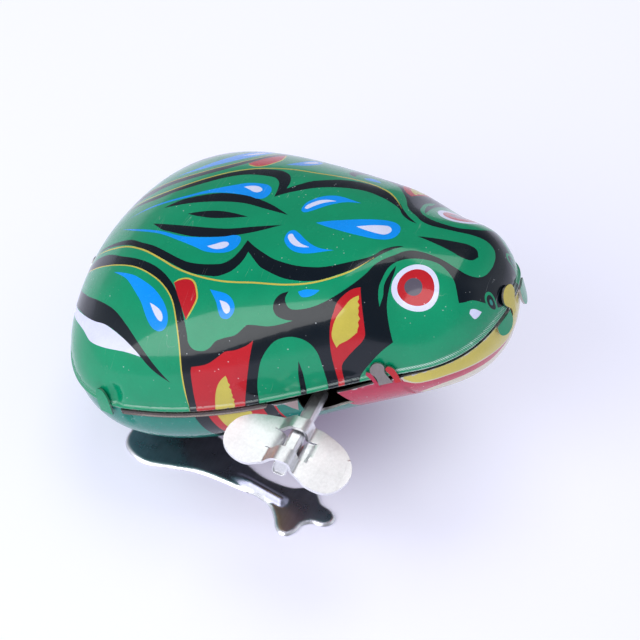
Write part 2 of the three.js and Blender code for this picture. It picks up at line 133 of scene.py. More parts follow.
class Half:
    """The back or the belly as a chart: p runs along the spine from the tail, and s across from
    the middle line, positive to the frog's right. The seam is at s = reach(p)."""

    ROWS, COLUMNS = 640, 240

    def __init__(self, tall, squareness, up, relief):
        self.p = np.linspace(0, SPINE_LENGTH, self.ROWS)
        t = np.clip(np.interp(self.p, SPINE, SPINE_T), 0.004, math.pi - 0.004)
        q = np.linspace(0, 1, 401)
        a = math.pi / 2 * q * q * (3 - 2 * q)
        points = section(t[:, None], a[None, :], tall, squareness, up)
        arc = np.array([running_length(row) for row in points])
        self.edge = arc[:, -1]
        share = np.linspace(0, 1, self.COLUMNS + 1)
        side = np.empty((self.ROWS, self.COLUMNS + 1, 3))
        for i in range(self.ROWS):
            for k in range(3):
                side[i, :, k] = np.interp(share * arc[i, -1], arc[i], points[i, :, k])
        other = side[:, :0:-1] * [1, -1, 1]
        self.share = np.concatenate([-share[:0:-1], share])
        self.points = np.concatenate([other, side], axis=1)
        self.normals = self.facing(up)
        self.plain = self.points, self.normals
        s = self.share[None, :] * self.edge[:, None]
        above = up * (self.points[..., 2] - seam_height(t)[:, None])
        away = relief(self.p[:, None] + 0 * s, s, above)
        self.points = self.points + away[..., None] * self.normals
        self.normals = self.facing(up)
        self.worked = self.points, self.normals

    def facing(self, up):
        along = np.gradient(self.points, axis=0)
        across = np.gradient(self.points, axis=1)
        return unit(np.cross(across, along) * up)

    def reach(self, p):
        return np.interp(p, self.p, self.edge)

    def look_up(self, grid, p, share):
        i = np.clip(np.interp(p, self.p, np.arange(self.ROWS)), 0, self.ROWS - 1.001)
        j = np.interp(share, self.share, np.arange(2 * self.COLUMNS + 1))
        j = np.clip(j, 0, 2 * self.COLUMNS - 0.001)
        i0, j0 = i.astype(int), j.astype(int)
        fi, fj = (i - i0)[:, None], (j - j0)[:, None]
        low = grid[i0, j0] * (1 - fj) + grid[i0, j0 + 1] * fj
        high = grid[i0 + 1, j0] * (1 - fj) + grid[i0 + 1, j0 + 1] * fj
        return low * (1 - fi) + high * fi

    def at(self, chart, plain=False):
        """Points and normals for chart points; past the seam the sheet runs straight on. The
        plain surface has no rolled edge or dents."""
        grid_points, grid_normals = self.plain if plain else self.worked
        p, s = np.asarray(chart, float).T
        p = np.clip(p, 0.02, SPINE_LENGTH - 0.02)
        reach = self.reach(p)
        share = np.clip(s / reach, -1, 1)
        points = self.look_up(grid_points, p, share)
        normals = unit(self.look_up(grid_normals, p, share))
        onward = unit(points - self.look_up(grid_points, p, share * 0.97))
        past = np.maximum(np.abs(s) - reach, 0)[:, None]
        return points + onward * past, normals


def mound(p, s, at, radii):
    """1 at a spot, falling smoothly to 0 at the given radii."""
    away = ((p - at[0]) / radii[0]) ** 2 + ((np.abs(s) - at[1]) / radii[1]) ** 2
    return np.clip(1 - away, 0, 1) ** 2



BACK_SHORT = 0.42  # how far above the seam the back's rim ends along the flank
RIM_GROOVE = (1.05, 0), (0.3, 1)  # hollows, each as a spot and its radii
BROW_HOLLOW = (67.5, 11.5), (10, 9)
REAR_DENT = (21.9, 33.4), (1.7, 2.6)
REAR_POCKET = (23, 1.9), (1, 1.4)
JAW_START = 47  # from here to the nose the belly's edge flares and stands clear of the back


def rise(x, start, end):
    x = np.clip((x - start) / (end - start), 0, 1)
    return x * x * (3 - 2 * x)


def back_short(p):
    """How far above the seam the back's rim ends."""
    return BACK_SHORT * rise(p, 20, 27) * rise(p, 72, 64)


def back_relief(p, s, above):
    """How far the back stands out from its plain shape: a rolled lip and its hollows."""
    above = above - back_short(p)
    lip = rise(above, 0.82, 0.6) * rise(above, -0.05, 0.2)
    hollows = 1.3 * mound(p, s, *BROW_HOLLOW) + 0.9 * mound(p, s, *REAR_DENT)
    return 0.3 * lip - 0.06 * mound(above, 0, *RIM_GROOVE) - hollows


def belly_short(p):
    """How far below the seam the belly's edge is."""
    return 0.08 + 0.3 * rise(p, 46, 48) + 0.35 * rise(p, 54, 58) * rise(p, 63, 58.5)


def belly_relief(p, s, below_seam):
    flare = np.clip(1 - below_seam / 1.3, 0, 1) ** 2
    return 0.3 * flare * (p > JAW_START) - 0.7 * mound(p, below_seam, *REAR_POCKET)


back = Half(BACK_HEIGHT, BACK_SQUARENESS, 1, back_relief)
belly = Half(BELLY_DEPTH, BELLY_SQUARENESS, -1, belly_relief)

# -------- outlines in a chart


def smooth(points, step):
    """Points along a curve through the given points."""
    pts = np.asarray(points, float)
    if len(pts) < 3:
        count = max(1, round(np.linalg.norm(pts[-1] - pts[0]) / step))
        return pts[0] + (pts[-1] - pts[0]) * np.linspace(0, 1, count + 1)[:, None]
    pts = np.vstack([2 * pts[0] - pts[1], pts, 2 * pts[-1] - pts[-2]])
    out = []
    for a, b, c, d in zip(pts, pts[1:], pts[2:], pts[3:]):
        ta = max(np.linalg.norm(b - a), 1e-6) ** 0.5
        tb = max(np.linalg.norm(c - b), 1e-6) ** 0.5
        tc = max(np.linalg.norm(d - c), 1e-6) ** 0.5
        m1 = tb * ((b - a) / ta - (c - a) / (ta + tb) + (c - b) / tb)
        m2 = tb * ((c - b) / tb - (d - b) / (tb + tc) + (d - c) / tc)
        count = max(1, round(np.linalg.norm(c - b) / step))
        u = (np.arange(count) / count)[:, None]
        h = [2 * u**3 - 3 * u**2 + 1, u**3 - 2 * u**2 + u, -2 * u**3 + 3 * u**2, u**3 - u**2]
        out.append(h[0] * b + h[1] * m1 + h[2] * c + h[3] * m2)
    return np.vstack(out + [pts[-2:-1]])


def outline(*runs, step=0.4):
    """A closed outline. Each run is a smooth curve that starts where the last one ended, so
    corners are only where runs meet."""
    done = [np.asarray(runs[0][:1], float)]
    last = runs[0][0]
    for k, run in enumerate(runs):
        points = run if k == 0 else [last, *run]
        if len(points) > 1:
            done.append(smooth(points, step)[1:])
        last = points[-1]
    made = np.vstack(done)
    if np.linalg.norm(made[0] - made[-1]) < 1e-6:
        made = made[:-1]
    return made


def sideways(line):
    """Unit vectors to the left of a line, at its points."""
    return unit(np.gradient(line, axis=0)[:, ::-1] * [-1, 1])


def rotation(angle):
    return np.array([[math.cos(angle), math.sin(angle)], [-math.sin(angle), math.cos(angle)]])


def stroke(points, width):
    """A line of paint that thins to nothing at both ends."""
    line = smooth(points, 0.5)
    side = sideways(line)
    share = np.linspace(0, 1, len(line))[:, None]
    half = width / 2 * np.clip(np.minimum(share, 1 - share) * 12, 0.15, 1)
    return np.vstack([line + side * half, (line - side * half)[::-1]])


def oval(centre, radii, count):
    a = np.linspace(0, 2 * math.pi, count, endpoint=False)
    return np.stack([centre[0] + radii[0] * np.cos(a), centre[1] + radii[1] * np.sin(a)], 1)


def jagged(points, depth, pitch):
    """A torn-looking edge along a curve."""
    line = smooth(points, pitch)
    swing = depth * np.array([(-1) ** k * (0.6 + 0.4 * math.sin(5 * k)) for k in range(len(line))])
    swing[[0, -1]] = 0
    return [tuple(v) for v in line + sideways(line) * swing[:, None]]


def drop(tip, rounds, end):
    """A drop that is symmetric about the spine: its tip, half widths (p, s), and round end."""
    half = smooth([(tip, 0), *rounds, (end, 0)], 0.3)
    return np.vstack([half, (half * [1, -1])[::-1][1:-1]])


BACK_PAINT = []  # (colour, outline), painted in this order
BELLY_PAINT = []


def paint(colour, shape, both=True, on=BACK_PAINT):
    on.append((colour, shape))
    if both:
        on.append((colour, shape * [1, -1]))


def area(colour, *runs, step=0.4):
    paint(colour, outline(*runs, step=step))


# ---- the large black figure: thigh arc, flank, hook and snout

THIGH_UPPER = [
    (10, 6.6), (14, 7.2), (17.9, 8.7), (22.1, 10), (26, 11.6), (29.05, 13.55), (31.8, 16.2),
    (33.8, 19.4), (35.3, 23), (35.5, 24),
]
THIGH_LOWER = [
    (34.2, 36.5), (34.4, 29.95), (34.2, 25.2), (33.2, 21.35), (31.55, 17.85), (29.05, 15.3),
    (26, 13.35), (22.1, 11.6), (17.9, 10.5), (14, 9.65), (10, 8.6), (5.5, 6.9),
]
area("black",
    [(50.6, 14.05), (50.3, 15.2), (50.6, 16.05), (51.4, 16.75), (53.1, 16.55), (55, 15.8),
     (57, 14.5), (58.7, 13), (60.7, 10.65), (62, 8.6), (62.7, 7.15), (63.8, 5.8), (65.2, 4.7),
     (66.6, 3.55), (68, 3.05), (70, 3), (72.7, 3.3), (74.9, 3.8), (77.1, 4), (78.8, 3.3),
     (79.75, 1.9), (80.1, -0.2)],
    [(88, -0.2)],
    [(87.5, 3.4)],
    [(84.2, 4.9)],
    [(84, 3.6)],
    [(82.7, 5.1), (80.4, 6.3), (78.5, 7.3), (77.4, 8.3), (76.6, 8.9)],
    [(76.1, 7.4), (75.4, 6.05), (74, 4.95), (72.4, 4.25), (70.4, 4.15), (68.5, 4.45),
     (67.1, 4.95), (65.7, 5.9), (64.9, 7.15), (64.5, 8.85), (64.3, 10.5), (64.5, 12.15),
     (64.9, 13.8)],
    [(65.2, 11.9), (65, 9.95), (65.3, 8.3), (65.7, 7.05), (66.05, 6.35)],
    [(66.1, 7.2), (65.95, 9.1), (65.9, 11.05), (66, 13.55), (66.3, 15.8), (66.7, 19.1)],
    [(65.2, 20.65), (62.7, 23.85), (60.6, 27.2), (60, 31)],
    [(60, 41)],
    [(34.2, 41)],
    THIGH_LOWER,
    THIGH_UPPER,
    [(35.9, 24.8), (36.7, 25.35), (38.1, 25.35), (39.2, 24.65), (40.05, 23.55), (41.4, 22.85),
     (43.1, 22.15), (44.2, 21.05), (44.8, 20.35), (45.9, 20.15), (48.1, 20), (49.8, 19.5),
     (52, 18.5)],
    [(50.9, 18.55), (49.4, 18.15), (48.7, 17.2), (48.7, 15.8), (49.4, 14.7), (50.6, 14.05)],
)
paint("yellow", stroke(THIGH_LOWER, 0.22))

# ---- panels and flames on the flank

PANEL = [
    (46, 22.5), (45.05, 23.4), (43.1, 24.5), (41.6, 24.95), (40.3, 26.05), (38.7, 27.3),
    (37.3, 27.85), (36.1, 28.15),
]
area("red",
    PANEL,
    [(35.9, 28.8), (35.75, 31.3), (35.2, 37.5)],
    [(42.4, 38)],
    [(43, 34), (43.9, 30.8), (44.8, 27.45), (46, 22.5)],
)
area("yellow",
    jagged([(41.2, 29), (41.4, 30.2), (41.45, 32.7), (41.2, 37.5)], 0.16, 0.5),
    [(37.9, 38)],
    [(38.5, 34.4), (39.5, 31.3), (40.3, 29.95), (41.2, 29)],
)
area("green",
    [(44.7, 36.5), (45.5, 30.8), (46.2, 28), (47, 25.5), (48.1, 23.55), (49.2, 22.2),
     (50.3, 21.5), (52, 21), (53.7, 21.2), (54.8, 21.9), (55.5, 23.15), (55.75, 24.95),
     (55.8, 28), (55.3, 34)],
    [(51.7, 36)],
    [(52.3, 31.9), (52.6, 29.1), (52.7, 26.9), (52.5, 24.9)],
    [(52, 27.45), (51.7, 29.95), (50.9, 36)],
)
FLAME = [
    (61.6, 11.3), (60.4, 12), (59.3, 13.3), (58.5, 14.7), (58.2, 16.05), (57.8, 17.7),
    (57.5, 21.6), (57.4, 28), (57.25, 29.1),
]
area("red",
    FLAME,
    [(58, 29), (58.6, 24.95), (59.6, 23.3), (61, 21.5), (62.25, 19.95), (62.8, 18.8),
     (62.75, 16.9), (62.4, 14.7), (61.6, 11.3)],
)
area("yellow",
    [(61.6, 12.7), (60.6, 13.55), (59.6, 15.2), (58.6, 16.9), (58.1, 18.55), (57.9, 19.95),
     (58.4, 21.7)],
    [(58.9, 21.05), (60.2, 20.1), (61.7, 18.55)],
    jagged([(61.7, 18.55), (62, 16.9), (61.9, 15.2), (61.6, 12.7)], 0.16, 0.5)[1:],
)

# ---- spot above the thigh arc

SPOT = [
    (30.9, 14.8), (31.55, 14.25), (32.7, 13.9), (33.8, 14.05), (34.6, 14.65), (35.3, 15.8),
    (35.8, 17.15), (35.6, 18.55), (34.8, 20.9),
]
area("red", SPOT, [(33.6, 19), (31.8, 16.2), (30.9, 14.8)])
paint("yellow", stroke(SPOT, 0.27))

# ---- scalloped band along the back, with the yellow line below it

BAND_UPPER = [
    (14, 4.7), (18, 5.1), (21, 6.3), (23.8, 7.3), (26, 8.3), (29.9, 10.1), (32, 10.8), (34, 11),
    (36, 10.9), (38, 10.5), (39.2, 9.4), (39.9, 7.7), (40.3, 5.3),
]
BAND_WAVE = [
    (42, 6.5), (44, 7.6), (46, 8.55), (48.1, 9.1), (50, 9.4), (52, 9.45), (54.2, 9.25),
    (56, 8.75), (58, 7.9), (60, 6.9), (62, 5.6), (63.2, 4.1), (64.9, 3), (66.1, 2.7),
]
BAND_BACK = [
    (64.3, 4), (63, 5.3), (61.2, 7.45), (58.7, 9.45), (57, 10.5), (55, 11.5), (53.1, 11.95),
    (51.2, 12.1), (49.2, 12), (47.6, 11.6), (46, 11.05), (44.5, 10.4), (43.1, 9.25), (41.4, 7.7),
]
BAND_LOWER = [
    (41.3, 9.1), (40.9, 10.4), (40.05, 11.75), (39.2, 12.4), (38, 13), (36, 13.1), (34, 12.95),
    (32, 12.45), (29.9, 11.6), (26, 9.8), (23.8, 8.7), (21, 7.45), (18, 6.3), (14, 5.5), (9, 4.6),
]
area("black", [(9, 4.4), *BAND_UPPER], BAND_WAVE, BAND_BACK, BAND_LOWER)
paint("yellow", stroke([(8, 4.9), (14.3, 6.05), (17.9, 6.6), (22.1, 8.05), (26, 9.95),
                        (30, 11.95), (34, 13.2), (39.2, 13.8), (44.5, 13.4), (50, 13), (54.2, 12),
                        (58.1, 10.1), (60, 8.6), (62.3, 5.9)], 0.3))
area("black",
    [(21, 1.9), (26, 2.7), (32, 3.2), (36, 3.1), (40, 2.2), (44.6, 1.2)],
    [(41.4, 3), (38.4, 4.25), (36, 4.95), (32, 5.4), (29.9, 5.3), (26, 4.4), (23.8, 3.7),
     (21, 1.9)],
)
paint("black", drop(26.8, [(29, 0.55), (32, 0.9), (35, 0.6)], 38), both=False)

# ---- blue drops with their white lights


def lit_drop(body, light):
    """A drop and its light, each a smooth curve from its tip back to its tip."""
    area("blue", [*body, body[0]])
    area("white", [*light, light[0]], step=0.3)


lit_drop(
    [(13.5, 1.3), (17.9, 2.6), (24, 4.1), (28.2, 5.3), (32, 5.45), (36, 4.95), (37.6, 4.45),
     (38.7, 4.7), (39.2, 5.8), (38.95, 7.2), (38, 8.15), (36, 8.55), (33.9, 8.4), (32, 7.7),
     (28.2, 6.3), (24, 4.7), (17.9, 3)],
    [(33.9, 7.3), (35.05, 6.75), (36.2, 6.15), (37, 6.1), (37.5, 6.6), (37.1, 7.3), (36, 7.75),
     (34.8, 7.65)],
)
paint("blue", drop(50, [(52, 0.65), (56, 1.55), (58, 1.9), (61.5, 2.2), (63.3, 1.8), (64.1, 1)],
                   64.35), both=False)
paint("white", drop(57, [(58.8, 0.55), (61, 0.95), (62.2, 0.95), (62.8, 0.5)], 62.95), both=False)
lit_drop(
    [(55.5, 5.65), (53.7, 6.2), (52, 6.75), (50.3, 6.95), (48.7, 6.6), (47.3, 5.65), (46.4, 4.5),
     (46.2, 3.3), (46.4, 2.5), (47.1, 2.15), (48.4, 2.85), (49.8, 3.95), (51.4, 4.95),
     (53.1, 5.55)],
    [(51.2, 5.55), (49.8, 5.7), (48.4, 5.4), (47.3, 4.55), (46.7, 3.7), (46.7, 3.15), (47.1, 3),
     (48.1, 3.95), (49.5, 4.95)],
)
lit_drop(
    [(17.8, 11.9), (20, 12.45), (22.7, 13.3), (24.9, 14.4), (27.1, 15.65), (29.05, 17.15),
     (30.4, 18.55), (31.4, 20.2), (31.7, 21.6), (31.4, 22.6), (30.6, 23.1), (29.3, 22.7),
     (28.2, 21.6), (26, 18.4), (24.6, 16.9), (22.9, 15.2), (21.3, 13.8)],
    [(27.7, 18.5), (29.05, 19.1), (30.2, 19.95), (30.7, 20.9), (30.6, 21.5), (30, 21.3),
     (29.2, 20.5)],
)
lit_drop(
    [(37.55, 15.45), (39.2, 15.65), (40.6, 15.9), (41.7, 16.6), (42.4, 17.7), (42.4, 18.85),
     (41.7, 19.8), (40.6, 19.8), (39.9, 18.85), (39.2, 17.45)],
    [(39.7, 17.05), (40.9, 17.3), (41.6, 17.85), (41.8, 18.55), (41.4, 19.05), (40.9, 18.85)],
)
area("blue",
    [(52.1, 13.9), (53.1, 13.4), (54.2, 13.2), (55.5, 13.1)],
    [(54.9, 13.85), (53.9, 14.45), (52.8, 14.6), (52.1, 13.9)],
)
paint("black", drop(67.3, [(70, 0.5), (72.7, 1), (75.4, 1.5), (76.7, 1.2)], 77.4), both=False)

# ---- thigh: black swoosh over a white wedge

area("white",
    [(4, 12), (7.4, 14.95), (11, 18.3), (14.6, 21.5), (17.1, 24), (20.4, 25.5), (25.2, 26.6),
     (27.8, 27.3)],
    [(24.9, 24.9), (20, 21.8), (14.6, 19.25), (9.05, 14.95), (4, 9)],
)
area("black",
    [(3.5, 7.6), (8, 11.3), (12.9, 14.95), (17.1, 17.2), (21, 19.4), (24.3, 22.2), (27.7, 25.8),
     (32.4, 31.3)],
    [(29.6, 29.25), (26.6, 26.3), (23.2, 23.7), (20, 21.8), (17.1, 20.65), (14.6, 19.25),
     (11, 16.5), (7.4, 13.55), (3.5, 10)],
)

# ---- eyes, nostrils and the mark beside the snout

EYE_LEAN = math.radians(24)
EYE_RINGS = (  # colour, its middle from the eye's, and its radii
    ("white", (0, 0), (3.63, 4.07)),
    ("red", (0.08, -0.08), (2.85, 3.16)),
    ("pupil", (-0.3, -0.1), (1.4, 1.53)),
)
for side, eye in ((1, (69.85, 9.15)), (-1, (70.7, 9.9))):
    for colour, off, radii in EYE_RINGS:
        ring = oval((0, 0), radii, 56) @ rotation(EYE_LEAN) + np.add(eye, off)
        paint(colour, ring * [1, side], both=False)
area("white",
    [(78.1, 9.6), (78.3, 8.85), (79, 8.3), (79.9, 8.1)],
    [(79.45, 9.1), (78.7, 10.1), (78.1, 9.6)], step=0.25,
)
for colour, radii, count in (
    ("green", (1.15, 1.35), 28), ("black", (0.8, 0.95), 24), ("teal", (0.3, 0.4), 16),
):
    paint(colour, oval((81.5, 5.3), radii, count))

# ---- the belly, in its own chart: s is given here from the seam down


def below(shape):
    """From distances below the seam to distances from the keel."""
    return np.stack([shape[:, 0], belly.reach(shape[:, 0]) - shape[:, 1]], 1)


def belly_paint(colour, shape):
    paint(colour, below(shape), on=BELLY_PAINT)


def band(colour, left, right):
    """Paint from the seam to the keel between two edges, each a list of (p, s)."""
    belly_paint(colour, outline(left, [right[-1]], right[-2::-1], [left[0]], step=0.6))


KEEL = 31  # far enough below the seam for the bands to meet the underside


def edge(p, lean, bow):
    """The edge of a band, from the seam to the keel."""
    return [(p, -0.5), (p + lean * 0.33 + bow, 7), (p + lean * 0.66 + bow, 15), (p + lean, KEEL)]


band("black", edge(34.3, 1.5, 0.4), edge(36.6, 1.5, 0.4))
band("red", edge(36.5, 1.5, 0.4), edge(45.2, -0.5, 0.6))
band("yellow", edge(37.9, 1.8, 0.3), jagged(edge(43.2, -0.6, 0.4), 0.16, 0.6))
band("black", edge(45.2, -0.5, 0.6), edge(47, -0.5, 0.6))
band("red", edge(46.9, -0.5, 0.6), edge(47.2, -0.5, 0.6))
belly_paint("putty", outline([(47.7, -0.4)], [(50.9, -0.4)], [(50, 2.9)], [(47.7, -0.4)]))
band("rose", edge(56.2, 1.4, 0.8), edge(66.4, -2, 1.4))
band("cream", edge(66.3, -2, 1.4), [(86.6, -0.5), (86.6, KEEL)])
# A black panel over the underside: painted shade, so that the legs reflect a dark belly.
belly_paint("black", outline(
    [(18, 30), (21, 22), (27, 17), (36, 15), (46, 14), (54, 14), (60, 15.5), (64, 19), (66, 30)],
    [(56, 34)],
    [(28, 34)],
    [(18, 30)],
))
belly_paint("yellow", outline(
    [(66.2, -0.5), (66.9, 1.2), (68.2, 2.6), (70.5, 2.9), (73, 3), (76, 3.7), (78.5, 5),
     (80.5, 7.6)],
    [(84, 9)],
    [(86.6, 4)],
    [(86.6, -0.5)],
    [(66.2, -0.5)],
))
belly_paint("rose", outline(
    [(66, 1), (66.9, 1.9), (68.2, 2.9), (70.5, 3.2), (73, 3.3), (76, 4.1), (78.5, 5.5),
     (80.6, 8.2)],
    [(78.2, 7.5), (76, 6.2), (73, 5.5), (70.5, 5.6), (68, 6.5), (66, 8)],
))

# -------- from outlines to sheets


def counter_clockwise(shape):
    x, y = shape.T
    area = np.sum(x * np.roll(y, -1) - y * np.roll(x, -1))
    return shape if area > 0 else shape[::-1]


def triangulate(domain, shapes, spacing, extra=np.empty((0, 2)), holes=()):
    """Chart triangles inside the domain. Returns the chart points, the triangles, and for each
    triangle the number of the last shape that covers it (0 is the bare domain)."""
    rings = [counter_clockwise(np.asarray(r)) for r in (domain, *shapes, *holes)]
    first_hole = 1 + len(shapes)
    points = np.vstack(rings)
    starts = np.cumsum([0] + [len(r) for r in rings])
    faces = [list(range(a, b)) for a, b in zip(starts, starts[1:])]
    low, high = domain.min(0), domain.max(0)
    rows = []
    for i, x in enumerate(np.arange(low[0], high[0], spacing * 0.87)):
        shift = spacing / 2 * (i % 2)
        y = np.arange(low[1] + shift, high[1], spacing)
        rows.append(np.stack([np.full(len(y), x), y], 1))
    grid = np.vstack([extra, *rows])
    taken = {tuple(c) for c in np.floor(points / (spacing * 0.5)).astype(int)}
    cells = np.floor(grid / (spacing * 0.5)).astype(int)
    free = [k for k, c in enumerate(cells) if k < len(extra) or tuple(c) not in taken]
    points = np.vstack([points, grid[free]])
    found = delaunay_2d_cdt([Vector(v) for v in points], [], faces, 1, 1e-4, True)
    flat = np.array([tuple(v) for v in found[0]])
    triangles, top = [], []
    for face, sources in zip(found[2], found[5]):
        if 0 not in sources or max(sources) >= first_hole:
            continue
        triangles.append(face)
        top.append(max(sources))
    triangles = np.array(triangles)
    used = np.unique(triangles)
    renumber = np.zeros(len(flat), int)
    renumber[used] = np.arange(len(used))
    return flat[used], renumber[triangles], np.array(top)


def thicken(points, normals, triangles, low, high, top=None, inside=0, rim=0):
    """A closed sheet: the outer face at high along the normals, the inner one at low. The paints
    of the outer triangles, the inner face and the rim are numbers of materials."""
    if top is None:
        top = [0] * len(triangles)
    n = len(points)
    a, b, c = (points[triangles[:, k]] for k in range(3))
    if np.sum(np.cross(b - a, c - a) * normals[triangles[:, 0]]) < 0:
        triangles = triangles[:, ::-1]
    edges = np.vstack([triangles[:, [0, 1]], triangles[:, [1, 2]], triangles[:, [2, 0]]])
    known = {tuple(e) for e in edges}
    free = np.array([e for e in edges if (e[1], e[0]) not in known])
    walls = np.stack([free[:, 1], free[:, 0], free[:, 0] + n, free[:, 1] + n], 1)
    vertices = np.vstack([points + normals * high, points + normals * low])
    faces = [*triangles.tolist(), *(triangles[:, ::-1] + n).tolist(), *walls.tolist()]
    paints = [*top, *([inside] * len(triangles)), *([rim] * len(walls))]
    a, b, _, d = vertices[walls.T]
    wall_normals = unit(np.cross(b - a, d - a))
    loops = np.vstack([
        normals[triangles.ravel()],
        -normals[triangles[:, ::-1].ravel()],
        np.repeat(wall_normals, 4, axis=0),
    ])
    return vertices, faces, paints, loops


def make_object(name, vertices, faces, materials, paints=None, loops=None):
    """A mesh object from points already in the frame, in metres."""
    mesh = bpy.data.meshes.new(name)
    mesh.from_pydata(vertices.tolist(), [], faces)
    for material in materials:
        mesh.materials.append(material)
    if paints is not None:
        mesh.polygons.foreach_set("material_index", np.array(paints, np.int32))
    mesh.polygons.foreach_set("use_smooth", np.ones(len(mesh.polygons), bool))
    if loops is not None:
        mesh.normals_split_custom_set(loops.tolist())
    mesh.update()
    return link(name, mesh)


def link(name, data):
    made = bpy.data.objects.new(name, data)
    bpy.context.scene.collection.objects.link(made)
    return made


def settle(obj, body="body", node=None):
    """Hides the CAD node that a piece stands for, if there is one, and attaches the piece to its
    body.
    """
    if node:
        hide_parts(node)
    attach(obj, body)


def face_outwards(obj, sharp):
    """Turns all faces outwards, and marks the edges that are sharper than an angle."""
    shape = bmesh.new()
    shape.from_mesh(obj.data)
    bmesh.ops.recalc_face_normals(shape, faces=shape.faces)
    shape.to_mesh(obj.data)
    shape.free()
    obj.data.set_sharp_from_angle(angle=math.radians(sharp))


def point_value(obj, name, values):
    attribute = obj.data.attributes.new(name, "FLOAT", "POINT")
    attribute.data.foreach_set("value", np.asarray(values, np.float32))


def soften(obj, width, angle):
    """Rounds the edges, so that they catch the light."""
    bevel = obj.modifiers.new("soft_edges", "BEVEL")
    bevel.width = width * MM
    bevel.segments = 2
    bevel.limit_method = "ANGLE"
    bevel.angle_limit = math.radians(angle)
    bevel.harden_normals = True


# -------- materials


def srgb(colour):
    """A colour with parts up to 255, as the renderer wants it."""
    v = np.array(colour) / 255
    linear = np.where(v <= 0.04045, v / 12.92, ((v + 0.055) / 1.055) ** 2.4)
    return (*linear.tolist(), 1)


class Shader:
    """A short way of adding nodes to a node tree."""

    def __init__(self, tree):
        self.tree = tree

    def add(self, kind, feed=None, output=0, **settings):
        made = self.tree.nodes.new("ShaderNode" + kind)
        for key, value in settings.items():
            setattr(made, key, value)
        self.feed(made, feed or {})
        return made.outputs[output]

    def feed(self, target, values):
        for key, value in values.items():
            if isinstance(value, bpy.types.NodeSocket):
                self.tree.links.new(value, target.inputs[key])
            else:
                target.inputs[key].default_value = value

    def place(self, stretch=(1, 1, 1), turn=(0, 0, 0), shift=(0, 0, 0)):
        """Object coordinates in millimetres, stretched and turned."""
        return self.add("Mapping", {
            "Vector": self.add("TexCoord", output="Object"),
            "Location": shift, "Rotation": turn, "Scale": tuple(v / MM for v in stretch),
        })

    def noise(self, scale, detail=3, rough=0.5, **where):
        return self.add("TexNoise", {
            "Vector": self.place(**where), "Scale": scale, "Detail": detail, "Roughness": rough,
        })

    def ramp(self, value, start, end, low=0, high=1):
        return self.add("MapRange", {
            "Value": value, "From Min": start, "From Max": end, "To Min": low, "To Max": high,
        }, interpolation_type="SMOOTHSTEP")

    def maths(self, operation, a, b=0):
        return self.add("Math", {0: a, 1: b}, operation=operation)

    def times(self, a, b):
        return self.maths("MULTIPLY", a, b)

    def vector(self, operation, a, b, output=0):
        return self.add("VectorMath", {0: a, **b}, output, operation=operation)

    def mix(self, factor, a, b):
        return self.add("Mix", {0: factor, 6: a, 7: b}, output=2, data_type="RGBA")

    def attribute(self, name):
        return self.add("Attribute", output="Fac", attribute_name=name)

    def bump(self, height, strength, depth, over=None, **settings):
        """A bump with its depth in millimetres, on top of another one."""
        feed = {"Height": height, "Strength": strength, "Distance": depth * MM}
        if over is not None:
            feed["Normal"] = over
        return self.add("Bump", feed, **settings)

    def scratches(self, turn, seed, amount):
        """Thin, curved, sparse lines: 1 on a line, 0 elsewhere."""
        line = self.noise(0.5, 2, 0.4, stretch=(1, 0.08, 0.35), turn=turn, shift=(seed, 0, 0))
        near = self.maths("ABSOLUTE", self.maths("SUBTRACT", line, 0.5))
        thin = self.ramp(near, 0, 0.0035, 1, 0)
        where = self.noise(0.12, 2, shift=(0, seed, 0))
        return self.times(thin, self.ramp(where, 0.62 - amount, 0.7 - amount))


def new_material(name):
    made = bpy.data.materials.new(name)
    made.use_nodes = True
    return made, Shader(made.node_tree), made.node_tree.nodes["Principled BSDF"]


WORN_TIN = srgb((196, 192, 190))
# Pale ink for the crests of the rolled rim: painted highlight, and worn ink as well.
HIGHLIGHT_AND_BARE_INK = (0.8, 0.95, 0.9, 1)
CHIP = (0.8, 0.82, 0.84, 1)
SCRATCHED_INK = (0.75, 0.77, 0.8, 1)
# Painted highlight for the crests of bare metal.
PAINTED_HIGHLIGHT_METAL = (0.9, 0.9, 0.93, 1)


